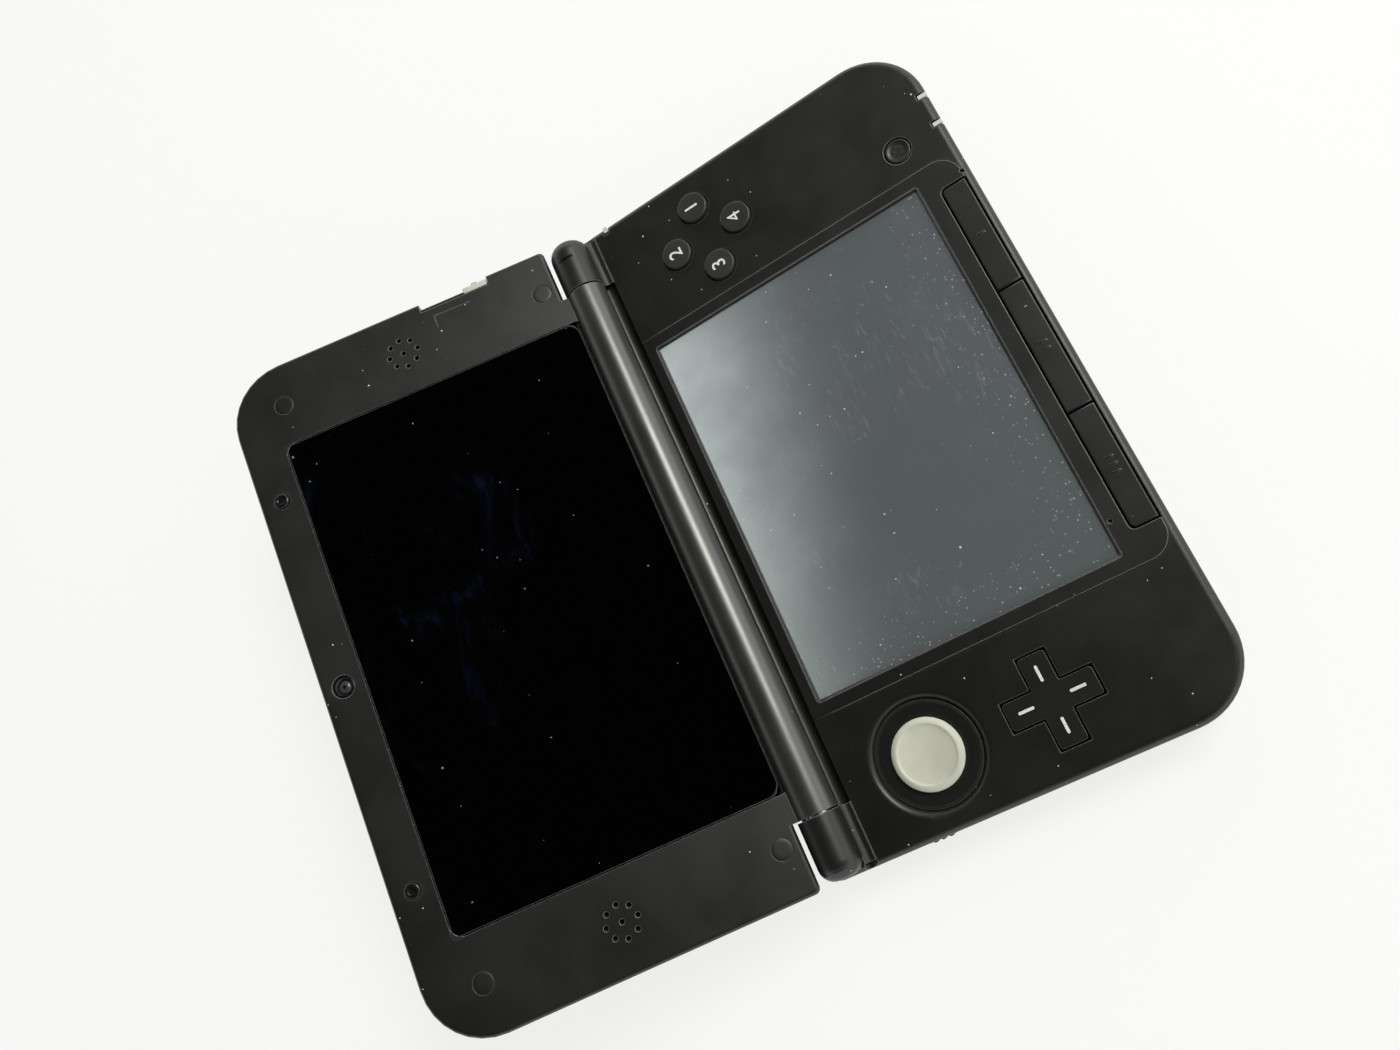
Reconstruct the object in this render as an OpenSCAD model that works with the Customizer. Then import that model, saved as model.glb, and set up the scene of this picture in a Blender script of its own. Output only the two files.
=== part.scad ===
// Clamshell handheld game console, drawn at its resting pose: base flat on a table, lid laid open.
// X points to the player's right, Y from the player towards the hinge, Z up from the table.
// Pieces of the base are drawn with the hinge axis at Y = 0 and the table at Z = 0.
// Pieces of the lid are drawn in the lid's own frame: Y runs from the hinge to the far edge,
// Z is normal to the inner face, and both are measured from the hinge axis.

/* [Overall size] */
// Width of both halves
body_w = 156; // [150:1:164]
// Hinge axis to the front face of the base
base_depth = 86.8; // [86:0.2:92]
// Hinge axis to the far edge of the lid
lid_depth = 87; // [86:0.2:92]
// Height of the base's top face over the table
base_t = 12.2; // [12:0.1:14]
// Thickness of the lid
lid_t = 8.5; // [8:0.1:10]
// Gap between the two halves when the lid is shut
closed_gap = 1.3; // [1.2:0.05:1.6]
// Angle of the lid above level when it is fully open
open_tilt = 19.3; // [19:0.1:30]

/* [Shells] */
// Plan radius of the four big corners
corner_r = 14; // [10:0.5:18]
// Plan radius of the corners beside the hinge
rear_corner_r = 2.8; // [2.7:0.1:4]
// Plan radius of the lid's inner shell beside the hinge
lid_corner_r = 1.3; // [1.2:0.1:2.8]
// Thickness of the side walls
wall = 1.5; // [1.2:0.1:1.8]
// Thickness of the large faces
face_wall = 1.4; // [1.2:0.1:1.6]
// Edge radius round the base's top face
top_edge_r = 1.6; // [0.8:0.1:2]
// Edge radius round the base's bottom face
bottom_edge_r = 2.2; // [1:0.1:2.6]
// Edge radius round the lid's inner face
lid_inner_edge_r = 0.9; // [0.6:0.1:1.1]
// Edge radius round the lid's outer face
lid_outer_edge_r = 2.6; // [1:0.1:2.7]
// Height of the joint line between the two base shells
base_split = 6.4; // [6.4:0.05:6.6]
// Depth of the joint line between the two lid shells, below the inner face
lid_split = 3; // [2.8:0.1:3.6]
// Gap along the joint lines
split_gap = 0.1; // [0.05:0.05:0.2]
// Height of the raised screen surround over the base's top face
panel_rise = 0.4; // [0.2:0.05:0.6]
// Screen surround's width beside the touch screen's opening
panel_border = 3.1; // [2.6:0.1:5]
// Corner radius of the raised screen surround
panel_r = 5; // [3:0.5:6]
// Plain rim left in front of the raised screen surround
panel_front_rim = 1.7; // [1.6:0.1:2.4]

/* [Hinge] */
// Height of the hinge axis over the base's top face
axis_rise = 3; // [2.9:0.1:3.4]
// Radius of the two end knuckles
knuckle_r = 4.7; // [4.5:0.1:4.9]
// Radius of the long middle barrel
barrel_r = 4.6; // [4.4:0.1:4.8]
// Distance of the knuckles' inner faces from the side faces
knuckle_side = 13.7; // [12:0.1:16]
// How far the knuckles stop short of the side faces
knuckle_inset = 0.5; // [0.2:0.1:1]
// Rounding of the knuckles' outer ends
knuckle_end_r = 3.4; // [2:0.1:4]
// Gap between a knuckle and the barrel's end
seam_gap = 0.4; // [0.15:0.05:0.5]
// Gap between the knuckles and the lid's rear edge
lid_rear_gap = 0.9; // [0.8:0.1:1.4]
// Gap between the barrel and the trough it turns in
trough_gap = 0.5; // [0.3:0.05:0.8]
// Radius of the hinge pin
pin_r = 1.6; // [1.2:0.1:1.8]
// Outer radius of the hollow hinge bush
bush_r = 2.6; // [2.4:0.1:2.8]
// Inner radius of the hollow hinge bush
bush_bore_r = 1.8; // [1.5:0.1:1.9]
// Radius of the click hinge unit
unit_r = 3.3; // [3:0.1:3.5]
// Length of the click hinge unit
unit_l = 13.5; // [10:0.5:18]
// Length of pin or bush inside the barrel
pin_in = 12.5; // [8:0.5:13]
// Length of pin or bush inside a knuckle
pin_out = 10; // [6:0.5:11]
// Radial clearance of a running shaft
run_fit = 0.05; // [0.02:0.01:0.1]

/* [Screens] */
// Width of each side area, from the side face to the touch screen's opening
side_w = 34.2; // [34:0.1:36]
// Hinge axis to the near edge of the touch screen's opening
touch_rear = 9.1; // [9:0.1:10]
// Front face to the touch screen's opening
touch_front = 11.3; // [10.9:0.1:13.7]
// Depth of the touch screen below its surround
touch_sink = 0.7; // [0.5:0.05:0.9]
// Thickness of the touch panel
touch_t = 1.05; // [0.8:0.05:1.2]
// How far the surround covers the touch panel's edge
touch_lap = 1.2; // [0.8:0.1:1.3]
// Thickness of the lower display
lower_lcd_t = 2; // [1.6:0.1:2.1]
// Width of the lid's face beside the glossy window
window_side = 20.5; // [20:0.1:22]
// Hinge axis to the near edge of the glossy window
window_rear = 5; // [5:0.1:6]
// Width of the lid's face beyond the glossy window
window_far = 9.9; // [9:0.1:12]
// Thickness of the glossy window
window_t = 0.85; // [0.7:0.05:0.9]
// Corner radius of the glossy window
window_r = 3; // [2:0.1:5]
// Corner radius of the window beside the hinge
window_rear_r = 1; // [0.5:0.1:1.2]
// Dark border of the window at the left and right of the picture
view_border_x = 4.4; // [3.5:0.1:7.5]
// Dark border of the window before and behind the picture
view_border_y = 4.2; // [3.6:0.1:6]
// Thickness of the upper display
upper_lcd_t = 2.4; // [1.8:0.1:2.6]

/* [Circle pad] */
// Circle pad's centre, outwards from the middle of its side area
pad_out = 1.4; // [0.9:0.1:1.7]
// Circle pad's centre, from the hinge axis
pad_y = 25; // [24:0.1:27]
// Radius of the pad's cap
pad_r = 7.4; // [7:0.05:8]
// Height of the cap's rim over the top face
pad_rise = 0.8; // [0.4:0.05:0.9]
// Travel of the cap each way along X and along Y
pad_travel = 2.1; // [1.5:0.1:2.2]
// Radius of the well round the pad
well_r = 11; // [10.8:0.1:11.4]
// Rounding of the well's upper edge
well_round = 1.6; // [0.8:0.1:2]
// Radius of the pad's stem
stem_r = 1.6; // [1.3:0.1:1.7]

/* [Direction pad] */
// Direction pad's centre, outwards from the middle of its side area
dpad_out = 1.6; // [-0.9:0.1:3.1]
// Direction pad's centre, from the hinge axis
dpad_y = 51.6; // [50:0.1:54]
// Length across two opposite arms
dpad_span = 18.6; // [17.6:0.1:20]
// Width of one arm
dpad_arm = 5.6; // [5:0.1:6.4]
// Height of the arms over the top face
dpad_rise = 0.5; // [0.3:0.05:0.6]
// Largest tilt of the pad, degrees
dpad_tilt = 3; // [1:0.5:3]

/* [Buttons] */
// Centre of the four face buttons, outwards from the middle of their side area
face_out = 0.3; // [-0.9:0.1:1.1]
// Centre of the four face buttons, from the hinge axis
face_y = 30.8; // [28:0.1:34]
// Distance of each face button from that centre
face_arm = 7.9; // [7.4:0.1:8.4]
// Radius of a face button
face_r = 3.5; // [3:0.05:3.6]
// Height of a face button over the top face
face_rise = 1; // [0.5:0.05:1.1]
// Travel of a face button
face_travel = 0.5; // [0.3:0.05:0.5]
// Power button's centre, from the screen surround's side
power_side = 6.8; // [6.1:0.1:9.1]
// Power button's centre, from the front face
power_in = 10.9; // [9:0.1:12]
// Radius of the power button
power_r = 2.75; // [2.4:0.05:3]
// Screen surround's side to the end of the row of three keys
keys_side = 6.6; // [5.9:0.1:8.9]
// Width of the middle key
home_w = 29.2; // [26:0.2:32]
// Corner radius at the two ends of the row of keys
key_corner_r = 1.2; // [0.6:0.1:2]
// Depth of the three keys, front to back
key_d = 5.7; // [5:0.1:6]
// Travel of the keys and of the power button
key_travel = 0.4; // [0.2:0.05:0.5]
// Radial gap round a button
button_gap = 0.3; // [0.15:0.05:0.35]
// Gap round the keys and the direction pad
key_gap = 0.4; // [0.2:0.05:0.5]
// Gap between the window and the lid's inner shell
window_gap = 0.2; // [0.1:0.05:0.3]
// Radial width of a button's retaining flange
flange_w = 0.75; // [0.5:0.05:0.8]

/* [Shoulder buttons] */
// Width of a shoulder button along the rear wall
shoulder_w = 23; // [20:0.5:24]
// Length of a shoulder button along the side wall
shoulder_l = 12; // [10:0.5:14]
// Height of a shoulder button
shoulder_h = 6.2; // [5:0.1:6.4]
// How far a shoulder button stands out behind the rear wall
shoulder_proud = 1.5; // [1:0.1:1.8]
// Outer corner radius of a shoulder button
shoulder_r = 5; // [3:0.5:7]
// Radius of a shoulder button's pin
shoulder_pin_r = 0.9; // [0.7:0.05:1]
// Largest swing of a shoulder button, degrees
shoulder_swing = 3; // [2:0.5:3.5]
// Gap round a shoulder button
shoulder_gap = 0.3; // [0.2:0.05:0.4]

/* [Sliders] */
// Volume slider's middle position, from the hinge axis
volume_y = 20; // [18:0.5:24]
// Travel of the volume slider each way
volume_travel = 4; // [2:0.5:5]
// Wireless switch's resting position, from the hinge axis
wireless_y = 22; // [20:0.5:26]
// Travel of the wireless switch
wireless_travel = 3; // [2:0.5:4]
// Height of the side slots' centre line over the table
slot_z = 8.4; // [8.3:0.1:8.6]
// Depth slider's resting end, from the hinge axis
depth_u = 20.3; // [19:0.1:22]
// Length of the depth slider's knob
depth_l = 6; // [5:0.1:7]
// Travel of the depth slider
depth_travel = 10.8; // [8:0.1:12]

/* [Cards, stylus and battery] */
// Left end of the game card slot, from the case screw beside it
card_gap = 6.2; // [3.8:0.1:6.2]
// Width of the game card slot
card_w = 34.6; // [33:0.2:36]
// Height of the game card slot
card_h = 4.35; // [4.1:0.05:4.35]
// Depth of the game card slot behind the rear wall
card_l = 34; // [30:0.5:36]
// Centre of the memory card, from the stylus's centre line
sd_stylus = 23; // [20:0.5:25]
// Width, thickness and length of the memory card
sd_size = [24, 2.1, 31.5];
// Thickness of the memory card's door
sd_door_t = 1.1; // [1:0.05:1.2]
// Height of the memory card's door
sd_door_h = 3.6; // [3.2:0.1:3.6]
// Stylus centre line, from the front face
stylus_front = 16.8; // [15.8:0.2:17.8]
// Radius of the stylus
stylus_r = 2.1; // [1.8:0.05:2.15]
// Length of the stylus
stylus_l = 96; // [90:1:100]
// Height of the battery
battery_h = 4.2; // [3.5:0.1:4.2]
// Battery's left edge, from the game card reader
battery_gap = 2; // [2:0.5:5]
// Battery's right edge, from the right side face
battery_side = 40; // [40:0.5:44]
// Battery's rear edge, from the hinge axis
battery_y = 13; // [12:0.5:16]
// Battery's front edge, from the stylus's centre line
battery_front = 7; // [7:0.5:10]
// Thickness of the battery cover
cover_t = 0.75; // [0.6:0.05:0.8]

/* [Sockets, lights and feet] */
// Headphone socket's centre, from the left side face
jack_side = 32; // [30:0.5:32]
// Height of the headphone socket over the table
jack_z = 5.9; // [5.8:0.1:6.1]
// Bore radius of the headphone socket
jack_r = 1.75; // [1.7:0.05:1.85]
// Bore length of the headphone socket
jack_l = 14; // [12:0.5:14]
// Centre of the charging socket, from the middle plane
charge_x = 16; // [14:0.5:18]
// Width and height of the charging socket's mouth
charge_size = [8.6, 3];
// Centre of the infrared window, from the middle plane
infrared_x = 33; // [31:0.5:34]
// Places of the two front lights, from the right side face
light_side = [16.2, 23.5];
// Width of a front light
light_w = 1.3; // [1:0.1:2]
// Radius of a rubber foot
foot_r = 3.2; // [2.5:0.1:3.5]
// How far a rubber foot stands out
foot_proud = 0.4; // [0.3:0.05:0.6]
// Feet: distance from the side faces, rear pair and front pair
foot_side = [16, 23];
// Feet: rear pair from the hinge axis, front pair from the front face
foot_end = [1.5, 7.3];
// Radius of a case screw's thread
screw_r = 0.9; // [0.7:0.05:1]
// Radius of a case screw's head
screw_head_r = 1.7; // [1.5:0.1:1.9]
// Case screws: distance from the side faces, rear pair and front pair
screw_side = [31, 12];
// Case screws: rear pair from the hinge axis, front pair from the front face
screw_end = [2, 6.8];

/* [Speakers and cameras] */
// Speakers' centres, from the side faces
speaker_side = 10.4; // [10:0.1:11.5]
// Speakers' centres, from the hinge axis
speaker_u = 44.4; // [42:0.1:48]
// Radius of the ring of sound holes
sound_ring_r = 3.45; // [3:0.05:4]
// Radius of a sound hole
sound_hole_r = 0.55; // [0.4:0.05:0.6]
// Inner camera's centre, from the lid's far edge
camera_in = 5.05; // [4.9:0.05:5.2]
// Radius of the inner camera's recess
camera_r = 2.5; // [2:0.1:2.7]
// Outer cameras' centres, from the middle plane
outer_camera_x = 17.5; // [16:0.5:20]
// Radius of an outer camera's window
outer_camera_r = 3.1; // [2.5:0.1:3.3]
// Bumpers' centres, from the glossy window's sides
bumper_side = 12.1; // [11.5:0.1:14.5]
// Bumpers' centres, from the lid's far edge
bumper_in = 5.3; // [5:0.1:5.6]
// Radius of a bumper
bumper_r = 1.7; // [1.4:0.1:2]
// How far a bumper stands out of the lid's inner face
bumper_proud = 0.7; // [0.4:0.05:0.75]

/* [Hidden] */
$fn = 64;
eps = 0.01;
// Small clearances: between fixed pieces, below a retained flange, and round a sliding knob
fix_gap = 0.1;
seat_gap = 0.2;
slide_gap = 0.15;
// Far beyond any piece, for cuts that go right through
far = 200;

half_w = body_w / 2;
side_mid = half_w - side_w / 2;
touch_half_w = half_w - side_w;
touch_l = base_depth - touch_rear - touch_front;
panel_half_w = touch_half_w + panel_border;
keys_half_w = panel_half_w - keys_side;
power_x = panel_half_w + power_side;
pad_x = side_mid + pad_out;
dpad_x = side_mid + dpad_out;
face_x = side_mid + face_out;
knuckle_in = half_w - knuckle_side;
window_half_w = half_w - window_side;
window_l = lid_depth - window_rear - window_far;
upper_view_half_w = window_half_w - view_border_x;
upper_view_l = window_l - 2 * view_border_y;
stylus_y = base_depth - stylus_front;
sd_y = stylus_y - sd_stylus;
jack_x = half_w - jack_side;
light_x = [for (a = light_side) half_w - a];
foot_x = [for (a = foot_side) half_w - a];
foot_y = [foot_end[0], base_depth - foot_end[1]];
screw_x = [for (a = screw_side) half_w - a];
screw_y = [screw_end[0], base_depth - screw_end[1]];
card_x = screw_x[0] - card_gap - card_w / 2;
reader_wall = 1.2;
battery_x = card_w / 2 - card_x + reader_wall + battery_gap;
battery_size = [half_w - battery_side - battery_x, stylus_y - battery_y - battery_front, battery_h];
speaker_x = half_w - speaker_side;
bumper_x = window_half_w - bumper_side;
axis_z = base_t + axis_rise;
lid_face = axis_rise - closed_gap;
lid_back = lid_face - lid_t;
lid_split_n = lid_face - lid_split;
lid_rear = knuckle_r + lid_rear_gap;
base_rear = knuckle_r;
knuckle_out = half_w - knuckle_inset;
barrel_end = knuckle_in - seam_gap;
shell_z = foot_proud;
floor_z = shell_z + wall;
ceiling_z = base_t - face_wall;
panel_z = base_t + panel_rise;
trough_r = barrel_r + trough_gap;
inner_w = half_w - wall;
front_y = -base_depth;

// Stack of layers inside the base, from the bottom up
board_t = 0.8;
board_z = base_split + 0.4;
board_top = board_z + board_t;
touch_top = panel_z - touch_sink;
lcd_top = touch_top - touch_t - fix_gap;
lcd_z = lcd_top - lower_lcd_t;
tray_t = 0.4;
tray_gap = 0.05;
tray_margin = touch_lap + tray_gap + tray_t;
flange_top = ceiling_z - seat_gap;
flange_h = 0.7;
plunger_z = flange_top - flange_h;

// Rear land under the open lid, and the groove along the base's rear edge
land_z = axis_z - trough_r + 0.2;
groove_r = 1.9;
groove_y = -(barrel_r);
groove_z = base_t + 0.7;
rear_ceiling_z = axis_z - trough_r - 1.3;

// Middle of the resting assembly, front to back, which is where the origin stands
far_arc_u = lid_depth - lid_outer_edge_r;
far_arc_n = lid_back + lid_outer_edge_r;
reach = far_arc_u * cos(open_tilt) - far_arc_n * sin(open_tilt) + lid_outer_edge_r;
middle_y = (reach - base_depth) / 2;

function arc(cx, cz, r, a0, a1, n) =
  [for (i = [0:n]) [cx + r * cos(a0 + (a1 - a0) * i / n), cz + r * sin(a0 + (a1 - a0) * i / n)]];

// Half outline of a turned corner post with rounded bottom and top edges
function post(r, z0, z1, e0, e1) = concat(
  [[0, z0]],
  e0 > 0 ? arc(r - e0, z0 + e0, e0, -90, 0, 6) : [[r, z0]],
  e1 > 0 ? arc(r - e1, z1 - e1, e1, 0, 90, 6) : [[r, z1]],
  [[0, z1]]);

// Moves a piece of the base to its place
module in_base() { translate([0, -middle_y, 0]) children(); }

// Moves a piece of the lid, drawn in the lid's frame, to its resting place
module in_lid() { translate([0, -middle_y, axis_z]) rotate([open_tilt, 0, 0]) children(); }

// Both sides of the middle plane
module both_sides() {
  children();
  mirror([1, 0, 0]) children();
}

// Flat outline with corner radius r0 at the near end y0 and r1 at the far end y1
module plan(hw, y0, y1, r0, r1) {
  polygon([[hw - r0, y0], [hw, y0 + r0], [hw, y1 - r1], [hw - r1, y1],
    [r1 - hw, y1], [-hw, y1 - r1], [-hw, y0 + r0], [r0 - hw, y0]]);
  for (s = [-1, 1]) {
    translate([s * (hw - r0), y0 + r0]) circle(r0);
    translate([s * (hw - r1), y1 - r1]) circle(r1);
  }
}

// Slab of that outline with rounded bottom and top edges
module soft_slab(hw, y0, y1, r0, r1, z0, z1, e0, e1) {
  hull() {
    for (s = [-1, 1]) {
      translate([s * (hw - r0), y0 + r0]) rotate_extrude($fn = 56) polygon(post(r0, z0, z1, e0, e1));
      translate([s * (hw - r1), y1 - r1]) rotate_extrude($fn = 32) polygon(post(r1, z0, z1, e0, e1));
    }
  }
}

// Upright prism of a flat child between two heights
module rise(z0, z1) { translate([0, 0, z0]) linear_extrude(z1 - z0) children(); }

// Box between two corners
module box(a, b) { translate(a) cube(b - a); }

// Upright cylinder at a point between two heights
module post_at(x, y, r, z0, z1) { translate([x, y, z0]) cylinder(r = r, h = z1 - z0); }

// Level cylinder along X between two places
module rod_x(x0, x1, y, z, r) { translate([x0, y, z]) rotate([0, 90, 0]) cylinder(r = r, h = x1 - x0); }

// Level cylinder along Y between two places
module rod_y(y0, y1, x, z, r) { translate([x, y0, z]) rotate([-90, 0, 0]) cylinder(r = r, h = y1 - y0); }

// Outer form of the base between two heights
module base_form(z0, z1, e0, e1) {
  soft_slab(half_w, front_y, base_rear, corner_r, rear_corner_r, z0, z1, e0, e1);
}

// Pocket of one shoulder button, right side
shoulder_front = base_rear - shoulder_l;
shoulder_swept = (shoulder_w - 3) * sin(shoulder_swing) + shoulder_gap + 0.3;
pocket_x = half_w - shoulder_w - shoulder_gap;
pocket_y = shoulder_front - shoulder_swept;
shoulder_z = 2.7;
shoulder_pin_x = pocket_x + shoulder_gap + 2.4;
shoulder_pin_y = base_rear - 5.2;

module shoulder_pocket() {
  box([pocket_x, pocket_y, shoulder_z - shoulder_gap], [far, far, shoulder_z + shoulder_h + shoulder_gap]);
}

// Flat outline of the hollow inside the base, with the walls of the shoulder pockets left standing
module base_hollow() {
  difference() {
    plan(inner_w, front_y + wall, base_rear - wall, corner_r - wall, 1);
    both_sides() translate([pocket_x - wall, pocket_y - wall]) square(far);
  }
}

// Battery bay, stylus channel, key row and memory card places
battery_end = -battery_y - battery_size[1];
bay_gap = 0.4;
stylus_z = floor_z + stylus_r + run_fit;
stylus_block = stylus_r + 1.1;
channel_end = half_w - stylus_l - 0.5;
key_rear = front_y + panel_front_rim + key_d;
power_y = front_y + power_in;
sd_z = 3.6;
sd_door_z = 2.75;
sd_half = sd_size[0] / 2;
recess_half_w = half_w - 22;
recess_r = 4;
recess_rear = -8;
recess_front = -stylus_y + stylus_block + 0.8;

// Places of the case screws, as [x, y]
screws = [for (i = [0, 1]) for (s = [-1, 1]) [s * screw_x[i], -screw_y[i]]];
// Places of the battery cover's two screws
cover_screw_in = 6;
cover_screw_gap = 5.2;
cover_screws_at = [[cover_screw_in - recess_half_w, (battery_end - battery_y) / 2 - 1],
  [battery_x + battery_size[0] + cover_screw_gap, -battery_y - 2]];
// Places of the four feet
feet = [for (i = [0, 1]) for (s = [-1, 1]) [s * foot_x[i], -foot_y[i]]];
boss_r = 2.5;

// Round hole in the front wall for the headphone socket's nose
nose_r = 2.6;
module jack_hole() { rod_y(-far, front_y + wall + eps, -jack_x, jack_z, nose_r + fix_gap); }

// Knuckle at the right end of the hinge
module knuckle() {
  translate([knuckle_in, 0, axis_z]) rotate([0, 90, 0]) rotate_extrude() polygon(
    post(knuckle_r, 0, knuckle_out - knuckle_in, 0, knuckle_end_r));
  box([knuckle_in, 0, ceiling_z - 2], [knuckle_out - knuckle_end_r, knuckle_r, axis_z]);
}

// Plus sign of the direction pad, grown by a gap
module plus(gap) {
  for (a = [0, 90]) rotate(a) square([dpad_span + 2 * gap, dpad_arm + 2 * gap], center = true);
}

// Slot for a sliding knob in a side wall; the near end is y1, the far end y0
slot_h = 2.7;
module side_slot(s, y0, y1) {
  box([s > 0 ? half_w - wall - eps : -far, y0, slot_z - slot_h / 2],
    [s > 0 ? far : eps + wall - half_w, y1, slot_z + slot_h / 2]);
}

volume_l = 6;
wireless_l = 4;

module base_top_cover() {
  color("#2b2b2b") in_base() difference() {
    union() {
      difference() {
        union() {
          base_form(base_split + split_gap, base_t, 0, top_edge_r);
          rise(base_t - 1, panel_z)
            plan(panel_half_w, front_y + panel_front_rim, -touch_rear + 2.4, panel_r, 0.5);
          both_sides() knuckle();
        }
        rise(0, ceiling_z) intersection() {
          base_hollow();
          translate([-far, -far]) square([2 * far, far - touch_rear + tray_margin + seat_gap]);
        }
        rise(0, rear_ceiling_z) base_hollow();
        both_sides() shoulder_pocket();
      }
      for (p = screws) post_at(p[0], p[1], boss_r, base_split + split_gap, rear_ceiling_z + eps);
      for (i = [2, 3]) post_at(screws[i][0], screws[i][1], boss_r, base_split + split_gap, ceiling_z + eps);
    }
    // Trough of the barrel, the land behind it and the groove in front of it
    rod_x(-knuckle_in, knuckle_in, 0, axis_z, trough_r);
    box([-knuckle_in, 0, land_z], [knuckle_in, far, far]);
    rod_x(-knuckle_in, knuckle_in, groove_y, groove_z, groove_r);
    both_sides() difference() {
      rod_x(knuckle_in - eps, half_w + 1, groove_y, groove_z, groove_r);
      rod_x(knuckle_in - 1, half_w + 2, 0, axis_z, knuckle_r + fix_gap);
    }
    // Touch screen's opening and the pocket under its surround
    rise(ceiling_z - 1, far)
      translate([-touch_half_w, -touch_rear - touch_l]) square([2 * touch_half_w, touch_l]);
    rise(ceiling_z - 1, touch_top)
      translate([-touch_half_w - touch_lap - fix_gap, -touch_rear - touch_l - touch_lap - fix_gap])
        square([2 * (touch_half_w + touch_lap + fix_gap), touch_l + 2 * (touch_lap + fix_gap)]);
    // Row of three keys
    rise(ceiling_z - 1, far) key_row(key_gap / 2);
    // Holes for the round buttons and the direction pad
    for (a = [0:90:270]) post_at(face_x + face_arm * cos(a), -face_y + face_arm * sin(a),
      face_r + button_gap, ceiling_z - 1, far);
    post_at(power_x, power_y, power_r + button_gap, ceiling_z - 1, far);
    translate([-dpad_x, -dpad_y]) rise(ceiling_z - 1, far) plus(key_gap);
    // Well of the circle pad with its rounded edge
    post_at(-pad_x, -pad_y, well_r, ceiling_z - 1, far);
    translate([-pad_x, -pad_y, base_t - well_round]) rotate_extrude() difference() {
      square([well_r + well_round, 2 * well_round]);
      translate([well_r + well_round, 0]) circle(well_round, $fn = 48);
    }
    // Slots of the volume slider and the wireless switch
    side_slot(-1, -volume_y - volume_l / 2 - volume_travel - slide_gap,
      -volume_y + volume_l / 2 + volume_travel + slide_gap);
    side_slot(1, -wireless_y - wireless_l / 2 - wireless_travel - slide_gap,
      -wireless_y + wireless_l / 2 + slide_gap);
    // Pockets of the lights
    for (x = light_x) light_block(x, fix_gap);
    wireless_block(fix_gap);
    jack_hole();
    // Sound holes of the microphone
    post_at(mic_x, mic_y, 0.45, ceiling_z - 1, far);
    post_at(6.8 - touch_half_w, front_y + touch_front - 1.2, 0.45, ceiling_z - 1, far);
    // Screw threads
    for (p = screws) post_at(p[0], p[1], screw_r + fix_gap, 0, screw_top + 0.4);
    // Seats of the hinge pin, the hollow bush and the shoulder pins
    rod_x(knuckle_in - 1, knuckle_in + pin_out, 0, axis_z, pin_r + run_fit);
    rod_x(-knuckle_in - pin_out, 1 - knuckle_in, 0, axis_z, bush_r + run_fit);
    both_sides() post_at(shoulder_pin_x, shoulder_pin_y, shoulder_pin_r + run_fit, 0,
      shoulder_z + shoulder_h + 0.9);
    ribbon_way();
    // Relief over the game card slot
    box([-card_x - card_w / 2, base_rear - wall - 1, 0],
      [-card_x + card_w / 2, far, card_z + card_h + fix_gap]);
  }
}

mic_x = panel_half_w - 5.1;
mic_y = front_y + panel_front_rim - 0.05;
screw_top = rear_ceiling_z - 0.5;
ribbon_x = 9 - half_w;
ribbon_w = 5;
ribbon_t = 0.3;
ribbon_z = shoulder_z + shoulder_h + 0.8;

// Way of the flat cable from the base's hollow, over the shoulder pocket, up into the left knuckle
module ribbon_way() {
  box([ribbon_x - ribbon_w / 2 - 0.2, pocket_y - wall - 1.7, ribbon_z - 0.2],
    [ribbon_x + ribbon_w / 2 + 0.2, 0.8, ribbon_z + ribbon_t + 0.2]);
  box([ribbon_x - ribbon_w / 2 - 0.2, -0.5, ribbon_z - 0.2], [ribbon_x + ribbon_w / 2 + 0.2, 0.8, axis_z]);
}

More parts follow.
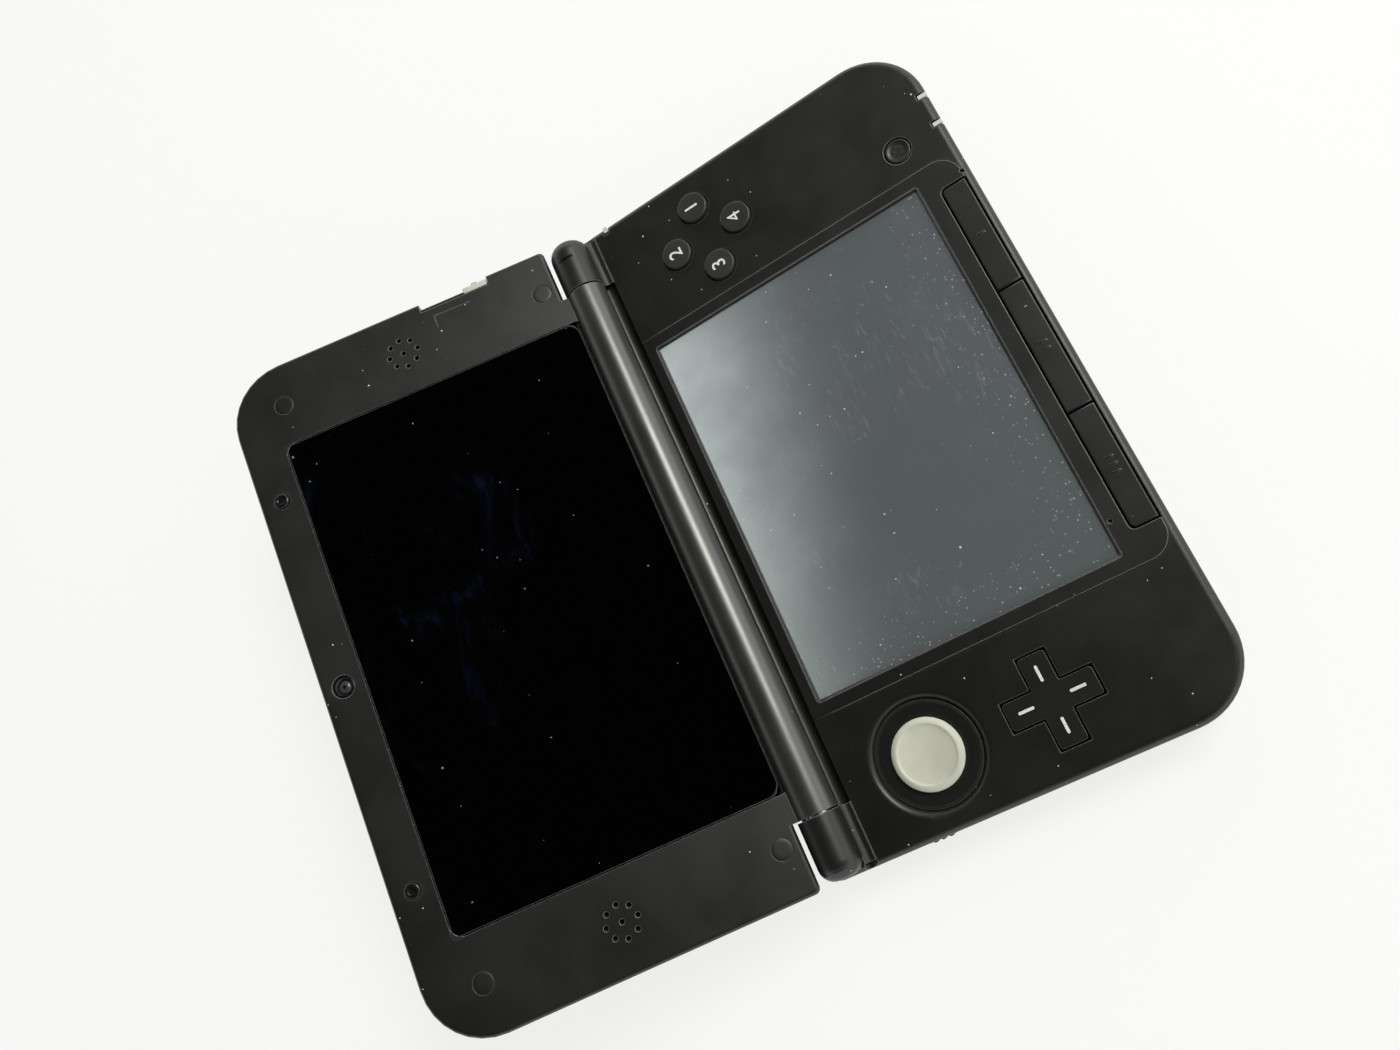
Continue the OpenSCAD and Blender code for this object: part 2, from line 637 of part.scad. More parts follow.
module base_bottom_cover() {
  color("#2b2b2b") in_base() difference() {
    union() {
      difference() {
        base_form(shell_z, base_split, bottom_edge_r, 0);
        rise(floor_z, far) base_hollow();
        both_sides() shoulder_pocket();
      }
      // Stylus channel, bay walls and screw bosses
      intersection() {
        box([channel_end - 1.2, -stylus_y - stylus_block, floor_z - eps],
          [half_w - wall + eps, -stylus_y + stylus_block, base_split]);
        base_form(shell_z, base_split, bottom_edge_r, 0);
      }
      box([battery_x - bay_gap - 1, battery_end - bay_gap - 1, floor_z - 0.5],
        [battery_x + battery_size[0] + bay_gap + 1, -battery_y + bay_gap + 1, base_split]);
      for (p = screws) post_at(p[0], p[1], boss_r, floor_z - eps, base_split);
      for (p = cover_screws_at) post_at(p[0], p[1], 2.4, floor_z - eps, floor_z + 1.3);
    }
    // Battery bay and the recess of its cover
    box([battery_x - bay_gap, battery_end - bay_gap, -1],
      [battery_x + battery_size[0] + bay_gap, -battery_y + bay_gap, far]);
    rise(0, shell_z + cover_t + fix_gap)
      plan(recess_half_w + fix_gap, recess_front - fix_gap, recess_rear + fix_gap, recess_r, recess_r);
    rod_x(channel_end, far, -stylus_y, stylus_z, stylus_r + run_fit);
    for (p = screws) {
      post_at(p[0], p[1], screw_r + seat_gap, 0, far);
      post_at(p[0], p[1], screw_head_r + seat_gap, 0, floor_z + 0.7);
    }
    for (p = cover_screws_at) post_at(p[0], p[1], screw_r + fix_gap, 0, far);
    for (p = feet) post_at(p[0], p[1], foot_r + fix_gap, 0, shell_z + 0.6);
    // Memory card's door, its pins, and the slot behind it
    box([half_w - sd_door_t - 2 * slide_gap, -sd_y - sd_half - 1.9, sd_door_z - slide_gap],
      [far, -sd_y + sd_half + 1.9, far]);
    box([half_w - far / 2, -sd_y - sd_half - 0.4, sd_z - 0.3],
      [far, -sd_y + sd_half + 0.4, sd_z + sd_size[1] + 0.3]);
    rod_y(-sd_y - sd_half - 2.6, -sd_y + sd_half + 2.6, sd_axis_x, sd_axis_z, sd_pin_r + run_fit);
    // Rear openings: game card, charging socket, infrared window
    box([-card_x - card_w / 2, base_rear - wall - 1, card_z], [-card_x + card_w / 2, far, far]);
    box([charge_x - charge_size[0] / 2 - 0.9, base_rear - wall - 1, charge_z - 0.6],
      [charge_x + charge_size[0] / 2 + 0.9, far, far]);
    box([infrared_x - infrared_w / 2 - fix_gap, base_rear - wall - 1, infrared_z - fix_gap],
      [infrared_x + infrared_w / 2 + fix_gap, far, infrared_z + infrared_h + fix_gap]);
    jack_hole();
    both_sides() post_at(shoulder_pin_x, shoulder_pin_y, shoulder_pin_r + run_fit, shoulder_z - 1.3, far);
  }
}

card_z = floor_z + 0.25;
charge_z = floor_z + 0.7;
infrared_w = 9;
infrared_h = 2.8;
infrared_z = floor_z + 0.8;
sd_axis_x = half_w - sd_door_t / 2;
sd_axis_z = sd_door_z + sd_door_t / 2;
sd_pin_r = 0.35;
sd_socket_l = 18;

module battery_cover() {
  color("#292929") in_base() difference() {
    rise(shell_z, shell_z + cover_t) plan(recess_half_w, recess_front, recess_rear, recess_r, recess_r);
    for (p = cover_screws_at) {
      post_at(p[0], p[1], screw_r + seat_gap, -1, far);
      post_at(p[0], p[1], screw_head_r + fix_gap, -1, shell_z + 0.45);
    }
  }
}

module battery() {
  color("#d8d8d4") in_base() difference() {
    rise(shell_z + cover_t + seat_gap, shell_z + cover_t + seat_gap + battery_size[2])
      translate([battery_x, battery_end]) square([battery_size[0], battery_size[1]]);
    for (i = [0:2]) box([battery_x + 6 + 7 * i, -battery_y - 1.5, shell_z + battery_size[2] - 0.6],
      [battery_x + 9 + 7 * i, far, far]);
  }
}

module main_board() {
  color("#1d5b3a") in_base() difference() {
    rise(board_z, board_top) polygon([
      [-inner_w + 1, 8 - stylus_y], [-jack_x + 6, 8 - stylus_y], [-jack_x + 6, front_y + wall + 1.5],
      [half_w - 18, front_y + wall + 1.5], [half_w - 18, -stylus_y - 2],
      [inner_w - 1, -stylus_y - 2], [inner_w - 1, pocket_y - wall - 0.6],
      [pocket_x - wall - 0.6, pocket_y - wall - 0.6], [pocket_x - wall - 0.6, base_rear - wall - 0.6],
      [-pocket_x + wall + 0.6, base_rear - wall - 0.6], [-pocket_x + wall + 0.6, pocket_y - wall - 0.6],
      [-inner_w + 1, pocket_y - wall - 0.6]]);
    for (p = screws) post_at(p[0], p[1], boss_r + seat_gap, 0, far);
  }
}

module touch_panel() {
  color("#59666a") in_base() rise(touch_top - touch_t, touch_top)
    translate([-touch_half_w - touch_lap, -touch_rear - touch_l - touch_lap])
      square([2 * (touch_half_w + touch_lap), touch_l + 2 * touch_lap]);
}

module lower_lcd() {
  color("#3a4144") in_base() rise(lcd_z, lcd_top)
    translate([-touch_half_w - touch_lap, -touch_rear - touch_l - touch_lap])
      square([2 * (touch_half_w + touch_lap), touch_l + 2 * touch_lap]);
}

module lower_lcd_tray() {
  margin = tray_margin - tray_t;
  color("#a9adb0") in_base() difference() {
    rise(lcd_z - tray_t - tray_gap, lcd_z + 1)
      translate([-touch_half_w - margin - tray_t, -touch_rear - touch_l - margin - tray_t])
        square([2 * (touch_half_w + margin + tray_t), touch_l + 2 * (margin + tray_t)]);
    rise(lcd_z - tray_gap, far) translate([-touch_half_w - margin, -touch_rear - touch_l - margin])
      square([2 * (touch_half_w + margin), touch_l + 2 * margin]);
  }
}

// Circle pad: the cap slides along Y in a slider that slides along X
slider_z = 8.85;
slider_t = 0.6;
stem_reach = pad_travel * sqrt(2) + stem_r + 0.3;
slider_half = [4.4, stem_r + pad_travel + 1.2 + slide_gap];
housing_wall = 1;

module circle_pad_cap() {
  color("#c3c6ba") in_base() translate([-pad_x, -pad_y]) {
    difference() {
      rotate_extrude() polygon(post(pad_r, ring_top + 0.3, base_t + pad_rise, 0.4, 0.45));
      // Shallow dish inside the rim
      translate([0, 0, base_t + pad_rise + 22 - 0.45]) sphere(r = 22, $fn = 96);
    }
    post_at(0, 0, stem_r, slider_z - 0.3, ring_top + 0.3 + eps);
    post_at(0, 0, stem_r + 0.8, slider_z - 0.7, slider_z - slide_gap);
  }
}

ring_top = base_t - 0.85;

module circle_pad_ring() {
  color("#1c1c1c") in_base() translate([-pad_x, -pad_y]) difference() {
    union() {
      post_at(0, 0, well_r - seat_gap, ceiling_z - 0.9, ring_top);
      post_at(0, 0, well_r + 1.2, ceiling_z - 0.9, ceiling_z - fix_gap);
    }
    post_at(0, 0, stem_reach, 0, far);
  }
}

module circle_pad_slider() {
  color("#e6e6e2") in_base() translate([-pad_x, -pad_y]) difference() {
    rise(slider_z, slider_z + slider_t) square([2 * slider_half[0], 2 * slider_half[1]], center = true);
    rise(0, far) square([2 * (stem_r + slide_gap), 2 * (stem_r + pad_travel + slide_gap)], center = true);
  }
}

module circle_pad_housing() {
  inside = [2 * (slider_half[0] + pad_travel + slide_gap), 2 * (slider_half[1] + slide_gap)];
  color("#34383a") in_base() translate([-pad_x, -pad_y]) difference() {
    rise(board_top + 0.05, slider_z + slider_t + 0.2)
      square([inside[0] + 2 * housing_wall, inside[1] + 2 * housing_wall], center = true);
    rise(board_top + 0.3, far) square(inside, center = true);
  }
}

// Direction pad: the rubber under it tilts about X, the pad on it tilts about Y
dpad_flange_r = 9.3;
dpad_flange_h = 0.6;
dpad_flange_z = ceiling_z - dpad_flange_r * sin(dpad_tilt * sqrt(2)) - dpad_flange_h - 0.15;

module dpad() {
  color("#1f1f1f") in_base() translate([-dpad_x, -dpad_y]) difference() {
    union() {
      rise(dpad_flange_z, base_t + dpad_rise) plus(0);
      post_at(0, 0, dpad_flange_r, dpad_flange_z, dpad_flange_z + dpad_flange_h);
      post_at(0, 0, 1.5, dpad_flange_z - 0.25, dpad_flange_z + eps);
    }
    // Groove that outlines the four arms
    rise(base_t + dpad_rise - 0.15, far) difference() {
      plus(-0.7);
      plus(-1);
    }
  }
}

module dpad_rubber() {
  color("#4a4a4a") in_base() translate([-dpad_x, -dpad_y]) {
    post_at(0, 0, 5.6, dpad_flange_z - 1, dpad_flange_z - 0.45);
    for (a = [0:90:270]) rotate(a) post_at(3.8, 0, 1.2, dpad_flange_z - 1.25, dpad_flange_z - 0.9);
  }
}

// Face button: rounded cap over a retaining flange
module round_button(x, y, r, top, edge) {
  in_base() translate([x, y]) {
    rotate_extrude() polygon(post(r, plunger_z, top, 0, edge));
    post_at(0, 0, r + flange_w, plunger_z, flange_top);
  }
}

module face_button(a) {
  color("#242424")
    round_button(face_x + face_arm * cos(a), -face_y + face_arm * sin(a), face_r, base_t + face_rise, 0.45);
}

module button_right() { face_button(0); }
module button_top() { face_button(90); }
module button_left() { face_button(180); }
module button_bottom() { face_button(270); }

// Rubber sheet with one hollow dome under each face button
module face_button_rubber() {
  dome_top = plunger_z - face_travel - seat_gap;
  color("#4a4a4a") in_base() translate([face_x, -face_y]) {
    difference() {
      rise(board_top, board_top + 0.5) plus_sheet();
      for (a = [0:90:270]) rotate(a) post_at(face_arm, 0, 1.8, 0, far);
    }
    for (a = [0:90:270]) rotate(a) translate([face_arm, 0]) difference() {
      post_at(0, 0, 2.6, board_top, dome_top);
      post_at(0, 0, 1.8, board_top - 1, dome_top - 0.5);
    }
  }
}

module plus_sheet() {
  for (a = [0, 90]) rotate(a) square([2 * face_arm + 7, 7], center = true);
}

module power_button() {
  color("#2f2f2f") difference() {
    round_button(power_x, power_y, power_r, base_t - 0.05, 0.2);
    in_base() translate([power_x, power_y, base_t + 12 - 0.25]) sphere(r = 12, $fn = 72);
  }
}

// Outline of the row of keys, grown by a gap, with its inner corners rounded
module key_row(gap) {
  y0 = front_y + panel_front_rim - gap;
  end_x = keys_half_w + gap;
  hull() {
    translate([-end_x, y0]) square([2 * end_x, 1]);
    for (s = [-1, 1]) translate([s * (keys_half_w - key_corner_r), key_rear - key_corner_r])
      circle(key_corner_r + gap, $fn = 32);
  }
}

// One key of the front row between two places
module front_key(x0, x1) {
  y0 = front_y + panel_front_rim + key_gap / 2;
  color("#2a2a2a") in_base() {
    intersection() {
      box([x0, y0, plunger_z], [x1, key_rear, panel_z]);
      rise(0, far) key_row(-key_gap / 2);
    }
    box([x0, y0, plunger_z], [x1, key_rear + 0.8, flange_top]);
    post_at((x0 + x1) / 2, (y0 + key_rear) / 2, 1.3, plunger_z - 0.5, plunger_z + eps);
  }
}

module start_key() { front_key((home_w + key_gap) / 2, keys_half_w - key_gap / 2); }
module home_key() { front_key((key_gap - home_w) / 2, (home_w - key_gap) / 2); }
module select_key() { front_key(key_gap / 2 - keys_half_w, (-home_w - key_gap) / 2); }

// Rubber strip with a dome under each front key and under the power button
module key_rubber() {
  y = front_y + panel_front_rim + key_d / 2;
  strip_y = front_y + wall + 1.8;
  dome_top = plunger_z - 0.5 - key_travel - seat_gap;
  side = (keys_half_w + home_w / 2) / 2;
  color("#4a4a4a") in_base() {
    box([-side - 3, strip_y, board_top], [side + 3, strip_y + 4.4, board_top + 0.4]);
    for (x = [-side, 0, side]) post_at(x, y, 2, board_top, dome_top);
    post_at(power_x, power_y, 2.2, board_top, plunger_z - key_travel - seat_gap);
  }
}

// Shoulder button, right side, drawn round its upright pin
module shoulder_body() {
  x0 = half_w - shoulder_w;
  y1 = base_rear + shoulder_proud;
  module outline(inset) {
    difference() {
      union() {
        translate([x0 + inset, shoulder_front + inset])
          square([shoulder_w - shoulder_r - inset, shoulder_l + shoulder_proud - 2 * inset]);
        translate([x0 + inset, shoulder_front + inset])
          square([shoulder_w - 2 * inset, shoulder_l + shoulder_proud - shoulder_r - inset]);
        translate([half_w - shoulder_r, y1 - shoulder_r]) circle(shoulder_r - inset);
      }
      // Relieved inner end, so that the heel clears its pocket when the button swings
      translate([x0 - 1, shoulder_front - 1]) square([1.6, shoulder_pin_y - shoulder_front]);
    }
  }
  difference() {
    union() {
      rise(shoulder_z, shoulder_z + shoulder_h) outline(0.3);
      rise(shoulder_z + 0.3, shoulder_z + shoulder_h - 0.3) outline(0);
    }
    // Hollow front, and the pin's bore
    box([shoulder_pin_x + 3, shoulder_front - 1, shoulder_z + 1.1],
      [half_w - 1.6, y1 - 4.5, shoulder_z + shoulder_h - 1.1]);
    post_at(shoulder_pin_x, shoulder_pin_y, shoulder_pin_r + run_fit, 0, far);
  }
}

module right_shoulder_button() { color("#202020") in_base() shoulder_body(); }
module left_shoulder_button() { color("#202020") in_base() mirror([1, 0, 0]) shoulder_body(); }

module shoulder_pins() {
  color("#b9bdc0") in_base() both_sides()
    post_at(shoulder_pin_x, shoulder_pin_y, shoulder_pin_r,
      shoulder_z - 1.2, shoulder_z + shoulder_h + 0.8);
}

// Knob with a hidden plate, for a slot in a side wall; s is the side
module side_knob(s, y, l, out, plate_l) {
  sx = half_w - wall;
  in_base() mirror([s > 0 ? 0 : 1, 0, 0]) {
    box([sx - 0.3, y - l / 2, slot_z - slot_h / 2 + slide_gap],
      [half_w + out, y + l / 2, slot_z + slot_h / 2 - slide_gap]);
    box([sx - 0.8, y - plate_l / 2, slot_z - slot_h / 2 - 0.3],
      [sx - slide_gap, y + plate_l / 2, slot_z + slot_h / 2 + 0.3]);
  }
}

module volume_slider() {
  color("#262626") {
    side_knob(-1, -volume_y, volume_l, 0.1, volume_l + 4);
    for (i = [-1:1]) in_base()
      box([-half_w - 0.4, -volume_y + 1.7 * i - 0.4, slot_z - 1.1],
        [-half_w, -volume_y + 1.7 * i + 0.4, slot_z + 1.1]);
  }
}

module wireless_switch() { color("#262626") side_knob(1, -wireless_y, wireless_l, -0.2, wireless_l + 3); }

// Front light: a bar that follows the front edge of the base
light_l = 2.3;
light_h = 3.2;
module light_block(x, gap) {
  box([x - light_w / 2 - gap, front_y - 1, base_t - light_h - gap],
    [x + light_w / 2 + gap, front_y + light_l + gap, base_t + 1]);
}

// Small light on the right edge beside the hinge
module wireless_block(gap) {
  box([half_w - 1.9 - gap, -10.3 - gap, base_t - 1.8 - gap], [half_w + 1, -8.9 + gap, base_t + 1]);
}

// The three light pipes: two at the front edge, one at the right edge
module light_pipes() {
  color("#d9dcd6") in_base() intersection() {
    base_form(base_split, base_t, 0, top_edge_r);
    union() {
      for (x = light_x) light_block(x, 0);
      wireless_block(0);
    }
  }
}

// Memory card door: a plate that swings out about its lower edge
module sd_card_door() {
  y0 = -sd_y - sd_half - 1.9 + slide_gap;
  y1 = -sd_y + sd_half + 1.9 - slide_gap;
  color("#252525") in_base() {
    box([half_w - sd_door_t, y0, sd_axis_z], [half_w, y1, sd_door_z + sd_door_h]);
    rod_y(y0, y1, sd_axis_x, sd_axis_z, sd_door_t / 2);
    rod_y(y0 - 0.6, y1 + 0.6, sd_axis_x, sd_axis_z, sd_pin_r);
  }
}

module sd_socket() {
  x0 = half_w - sd_door_t - 0.4 - sd_size[2];
  x1 = x0 + sd_socket_l;
  color("#c2c5c7") in_base() difference() {
    box([x0 - 1.2, -sd_y - sd_half - 0.7, sd_z - 0.5], [x1, -sd_y + sd_half + 0.7, board_z]);
    box([x0 - 0.2, -sd_y - sd_half - 0.2, sd_z - 0.2],
      [x1 + 1, -sd_y + sd_half + 0.2, sd_z + sd_size[1] + 0.2]);
  }
}

// Game card reader: an open-mouthed tray behind the rear slot
module card_reader() {
  color("#2f3336") in_base() difference() {
    box([-card_x - card_w / 2 - reader_wall, base_rear - card_l - 1.5, floor_z + 0.05],
      [-card_x + card_w / 2 + reader_wall, base_rear - wall - 0.1, board_z]);
    box([-card_x - card_w / 2, base_rear - card_l, card_z], [-card_x + card_w / 2, far, card_z + card_h]);
  }
}

module charging_socket() {
  hw = charge_size[0] / 2;
  color("#1a1a1a") in_base() {
    difference() {
      box([charge_x - hw - 0.8, -8, charge_z - 0.5],
        [charge_x + hw + 0.8, base_rear - 0.4, charge_z + charge_size[1] + 0.5]);
      box([charge_x - hw, -3, charge_z], [charge_x + hw, far, charge_z + charge_size[1]]);
    }
    box([charge_x - hw + 1.6, -3 - eps, charge_z + 1.1],
      [charge_x + hw - 1.6, base_rear - 1.6, charge_z + 1.9]);
  }
}

module infrared_window() {
  color("#1a0d10") in_base() box([infrared_x - infrared_w / 2, base_rear - wall - 0.4, infrared_z],
    [infrared_x + infrared_w / 2, base_rear - 0.15, infrared_z + infrared_h]);
}

module headphone_jack() {
  mouth = front_y + 0.3;
  color("#1b1b1b") in_base() difference() {
    union() {
      rod_y(mouth, mouth + 2.5, -jack_x, jack_z, nose_r);
      box([-jack_x - 3.1, front_y + wall + 0.15, jack_z - 2.6],
        [-jack_x + 3.1, mouth + jack_l, jack_z + 2.2]);
    }
    rod_y(mouth - 1, mouth + jack_l + 1, -jack_x, jack_z, jack_r);
  }
}

module stylus() {
  x1 = half_w - 0.1;
  x0 = x1 - stylus_l;
  color("#222222") in_base() translate([0, -stylus_y, stylus_z]) {
    translate([x0 + 6, 0, 0]) rotate([0, 90, 0]) cylinder(r = stylus_r, h = x1 - x0 - 6.8);
    translate([x0 + 1, 0, 0]) rotate([0, 90, 0]) cylinder(r1 = 0.8, r2 = stylus_r, h = 5);
    translate([x0 + 1, 0, 0]) sphere(r = 0.8);
    translate([x1 - 0.8, 0, 0]) rotate([0, 90, 0]) cylinder(r1 = stylus_r, r2 = stylus_r - 0.5, h = 0.8);
  }
}

module rubber_feet() {
  color("#3a3a3a") in_base() for (p = feet) post_at(p[0], p[1], foot_r, 0, shell_z + 0.55);
}

// Cross-headed screw, head down, between the head's face and the thread's end
module screw(p, z0, z1, head_h) {
  difference() {
    union() {
      post_at(p[0], p[1], screw_head_r, z0, z0 + head_h);
      post_at(p[0], p[1], screw_r, z0, z1);
    }
    for (a = [0, 90]) translate([p[0], p[1], z0]) rotate(a) cube([2, 0.45, 0.8], center = true);
  }
}

module case_screws() {
  color("#8f9396") in_base() for (p = screws) screw(p, floor_z - 0.6, screw_top, 1.2);
}

module cover_screws() {
  color("#8f9396") in_base() for (p = cover_screws_at) screw(p, shell_z + 0.02, floor_z + 1, 0.4);
}

module hinge_pin() {
  color("#b9bdc0") in_base() rod_x(knuckle_in - pin_in, knuckle_in + pin_out - 0.3, 0, axis_z, pin_r);
}

// Hollow bush at the left end, which the flat cable goes through
module hinge_bush() {
  color("#b9bdc0") in_base() difference() {
    rod_x(-knuckle_in - pin_out + 0.3, pin_in - knuckle_in, 0, axis_z, bush_r);
    rod_x(-far, far, 0, axis_z, bush_bore_r);
    box([ribbon_x - ribbon_w / 2 - 0.2, -0.5, 0], [ribbon_x + ribbon_w / 2 + 0.2, 0.8, axis_z]);
  }
}

module base_ribbon() {
  x0 = ribbon_x - ribbon_w / 2;
  x1 = ribbon_x + ribbon_w / 2;
  y0 = pocket_y - wall - 1.4;
  color("#c98a3a") in_base() {
    box([x0, y0, board_top + fix_gap], [x1, y0 + ribbon_t, ribbon_z + ribbon_t]);
    box([x0, y0, ribbon_z], [x1, 0.3, ribbon_z + ribbon_t]);
    box([x0, 0, ribbon_z], [x1, ribbon_t, axis_z + 0.2]);
    box([x0, -1.2, axis_z], [pin_in - knuckle_in, 1.2, axis_z + ribbon_t]);
  }
}

// Outline along X of the lid's rear web, which closes the lid against the barrel
web_r = 3;
web_u = lid_rear + 3.4;
module web_outline() {
  difference() {
    union() {
      hull() {
        circle(barrel_r, $fn = 48);
        translate([web_u, lid_back + web_r]) circle(web_r, $fn = 32);
      }
      translate([0, lid_split_n - 1]) square([web_u, lid_face - lid_split_n + 1]);
    }
    circle(barrel_r + fix_gap);
    translate([-far, -far]) square([far, 2 * far]);
  }
}

// Solid web between the two heights, or its hollow when it is thinned
module web(n0, n1) {
  intersection() {
    rotate([90, 0, 90]) translate([0, 0, -barrel_end]) linear_extrude(2 * barrel_end) web_outline();
    box([-far, 0, n0], [far, web_u, n1]);
  }
}

// Outer form of the lid between two depths
module lid_form(n0, n1, e0, e1, rear_r = rear_corner_r) {
  soft_slab(half_w, lid_rear, lid_depth, rear_r, corner_r, n0, n1, e0, e1);
}

// Hollow inside the lid
module lid_hollow() { plan(inner_w, lid_rear + wall, lid_depth - wall, 1, corner_r - wall); }

camera_u = lid_depth - camera_in;
bumper_u = lid_depth - bumper_in;
outer_camera_u = lid_depth - 7;
outer_camera_half = outer_camera_r + 0.4;
upper_board_half_w = upper_view_half_w - 3.1;
lid_floor = lid_back + face_wall;
lid_ceiling = lid_face - face_wall;
cap_side = 10.5;
cap_x = half_w - cap_side;
cap_u = [lid_rear + 3.9, lid_depth - 12.7];
cap_r = 2.2;
depth_x = half_w - 2.5;

// Places of the flush caps, and of the lid's screws: four under the caps, two under the bumpers
caps_at = [for (s = [-1, 1]) for (u = cap_u) [s * cap_x, u]];
lid_screws_at = concat(caps_at, [for (s = [-1, 1]) [s * bumper_x, bumper_u]]);

module lid_outer_cover() {
  n1 = lid_split_n - split_gap;
  color("#2b2b2b") in_lid() difference() {
    union() {
      difference() {
        union() {
          lid_form(lid_back, n1, lid_outer_edge_r, 0);
          web(lid_back - 1, n1);
        }
        rise(lid_floor, far) lid_hollow();
      }
      for (p = lid_screws_at) post_at(p[0], p[1], boss_r, lid_floor - eps, n1);
      // Ledge under the depth slider's notch
      box([depth_x - 0.4, depth_u - 1, lid_floor - eps],
        [inner_w + eps, depth_u + depth_l + depth_travel + 1, n1]);
    }
    for (p = lid_screws_at) post_at(p[0], p[1], screw_r + fix_gap, lid_floor + 0.8, far);
    for (s = [-1, 1]) post_at(s * outer_camera_x, outer_camera_u, outer_camera_r + fix_gap, -far, 0);
    lid_ribbon_way();
  }
}

// Way of the flat cable from the barrel down into the lid's hollow
module lid_ribbon_way() {
  box([lid_ribbon_x0 - 0.2, 0, lid_ribbon_n - 0.2],
    [lid_ribbon_x1 + 0.2, lid_rear + wall + eps, lid_ribbon_n + ribbon_t + 0.2]);
  box([lid_ribbon_x0 - 0.2, lid_rear + 0.4, lid_ribbon_low - 0.2],
    [lid_ribbon_x1 + 0.2, lid_rear + wall + eps, lid_ribbon_n]);
}

module lid_inner_cover() {
  color("#2b2b2b") in_lid() difference() {
    union() {
      difference() {
        union() {
          lid_form(lid_split_n, lid_face, 0, lid_inner_edge_r, lid_corner_r);
          web(lid_split_n, lid_face);
        }
        rise(-far, lid_ceiling) lid_hollow();
      }
      for (p = lid_screws_at) post_at(p[0], p[1], boss_r, lid_split_n, lid_ceiling + eps);
    }
    // Window's recess and the view of the display
    rise(lid_face - window_t - 0.05, far) plan(window_half_w + window_gap, window_rear - 1,
      window_rear + window_l + window_gap, window_rear_r, window_r);
    rise(-far, far) translate([-upper_view_half_w, window_rear + view_border_y])
      square([2 * upper_view_half_w, upper_view_l]);
    // Sound holes: one in the middle and eight round it
    for (s = [-1, 1]) translate([s * speaker_x, speaker_u]) {
      post_at(0, 0, sound_hole_r, -far, far);
      for (i = [0:7]) rotate(45 * i) post_at(sound_ring_r, 0, sound_hole_r, -far, far);
    }
    // Inner camera, bumpers, caps and screws
    post_at(0, camera_u, camera_r, -far, far);
    for (s = [-1, 1]) post_at(s * bumper_x, bumper_u, bumper_r + fix_gap, lid_face - 1.2, far);
    for (p = caps_at) post_at(p[0], p[1], cap_r + 0.05, lid_face - 0.7, far);
    for (p = lid_screws_at) {
      post_at(p[0], p[1], screw_r + seat_gap, -far, far);
      post_at(p[0], p[1], screw_head_r + fix_gap, lid_face - 1.7, lid_face - 0.5);
    }
    lid_ribbon_way();
    // Notch of the depth slider in the right edge
    box([depth_x, depth_u - slide_gap, lid_split_n - 1],
      [far, depth_u + depth_l + depth_travel + slide_gap, far]);
  }
}

module upper_window() {
  color("#050506") in_lid() rise(lid_face - window_t, lid_face)
    plan(window_half_w, window_rear, window_rear + window_l, window_rear_r, window_r - 0.1);
}

module upper_lcd() {
  color("#101214") in_lid() rise(lid_ceiling - 0.05 - upper_lcd_t, lid_ceiling - 0.05)
    translate([-upper_view_half_w - 2.2, lid_rear + wall + 0.2])
      square([2 * upper_view_half_w + 4.4, upper_view_l + 4.4]);
}

module upper_board() {
  n1 = lid_ceiling - upper_lcd_t - 0.3;
  color("#1d5b3a") in_lid() difference() {
    box([-upper_board_half_w, lid_rear + wall + 1, n1 - board_t],
      [upper_board_half_w, outer_camera_u - outer_camera_half - 0.9, n1]);
    box([-upper_board_half_w - eps, lid_rear, n1 - 2],
      [12 - upper_board_half_w, lid_rear + wall + 8, far]);
  }
}

// Speaker: oblong can with a round cone facing the sound holes
speaker_size = [14, 18];
module speaker() {
  translate([speaker_x, speaker_u]) difference() {
    union() {
      rise(lid_ceiling - 3.6, lid_ceiling - 0.5) square(speaker_size, center = true);
      rise(lid_ceiling - 0.6, lid_ceiling - 0.05) difference() {
        square(speaker_size, center = true);
        circle(5.6);
      }
    }
    translate([0, 0, lid_ceiling + 8]) sphere(r = 9, $fn = 72);
  }
}

module right_speaker() { color("#3c4043") in_lid() speaker(); }
module left_speaker() { color("#3c4043") in_lid() mirror([1, 0, 0]) speaker(); }

module inner_camera() {
  color("#17191b") in_lid() translate([0, camera_u]) difference() {
    union() {
      box([-3.6, -3.4, lid_ceiling - 3.6], [3.6, 3.4, lid_ceiling - 0.05]);
      rotate_extrude() polygon(post(camera_r - 0.15, lid_ceiling - 1, lid_face - 0.5, 0, 0.2));
    }
    translate([0, 0, lid_face - 1.3]) cylinder(r1 = 0.8, r2 = 1.7, h = 1);
  }
}

module outer_cameras() {
  color("#17191b") in_lid() for (s = [-1, 1]) translate([s * outer_camera_x, outer_camera_u]) {
    box([-outer_camera_half, -outer_camera_half, lid_floor + 0.1],
      [outer_camera_half, outer_camera_half, lid_floor + 3]);
    post_at(0, 0, outer_camera_r - 1.1, lid_back + 0.85, lid_floor + 0.2);
  }
}

module camera_windows() {
  color("#0b0d10") in_lid() for (s = [-1, 1])
    post_at(s * outer_camera_x, outer_camera_u, outer_camera_r, lid_back + 0.05, lid_back + 0.75);
}

module depth_slider() {
  x1 = half_w - 0.8;
  color("#cfd1cd") in_lid() {
    box([depth_x + slide_gap, depth_u, lid_split_n + 0.2], [x1, depth_u + depth_l, lid_face - 0.15]);
    box([x1 - 0.5, depth_u + depth_l / 2 - 0.7, lid_split_n + 0.4],
      [half_w - 0.15, depth_u + depth_l / 2 + 0.7, lid_face - 0.4]);
    box([depth_x - 0.5, depth_u + 0.5, lid_split_n + 0.2],
      [depth_x + 0.5, depth_u + depth_l - 0.5, lid_ceiling - 0.2]);
  }
}

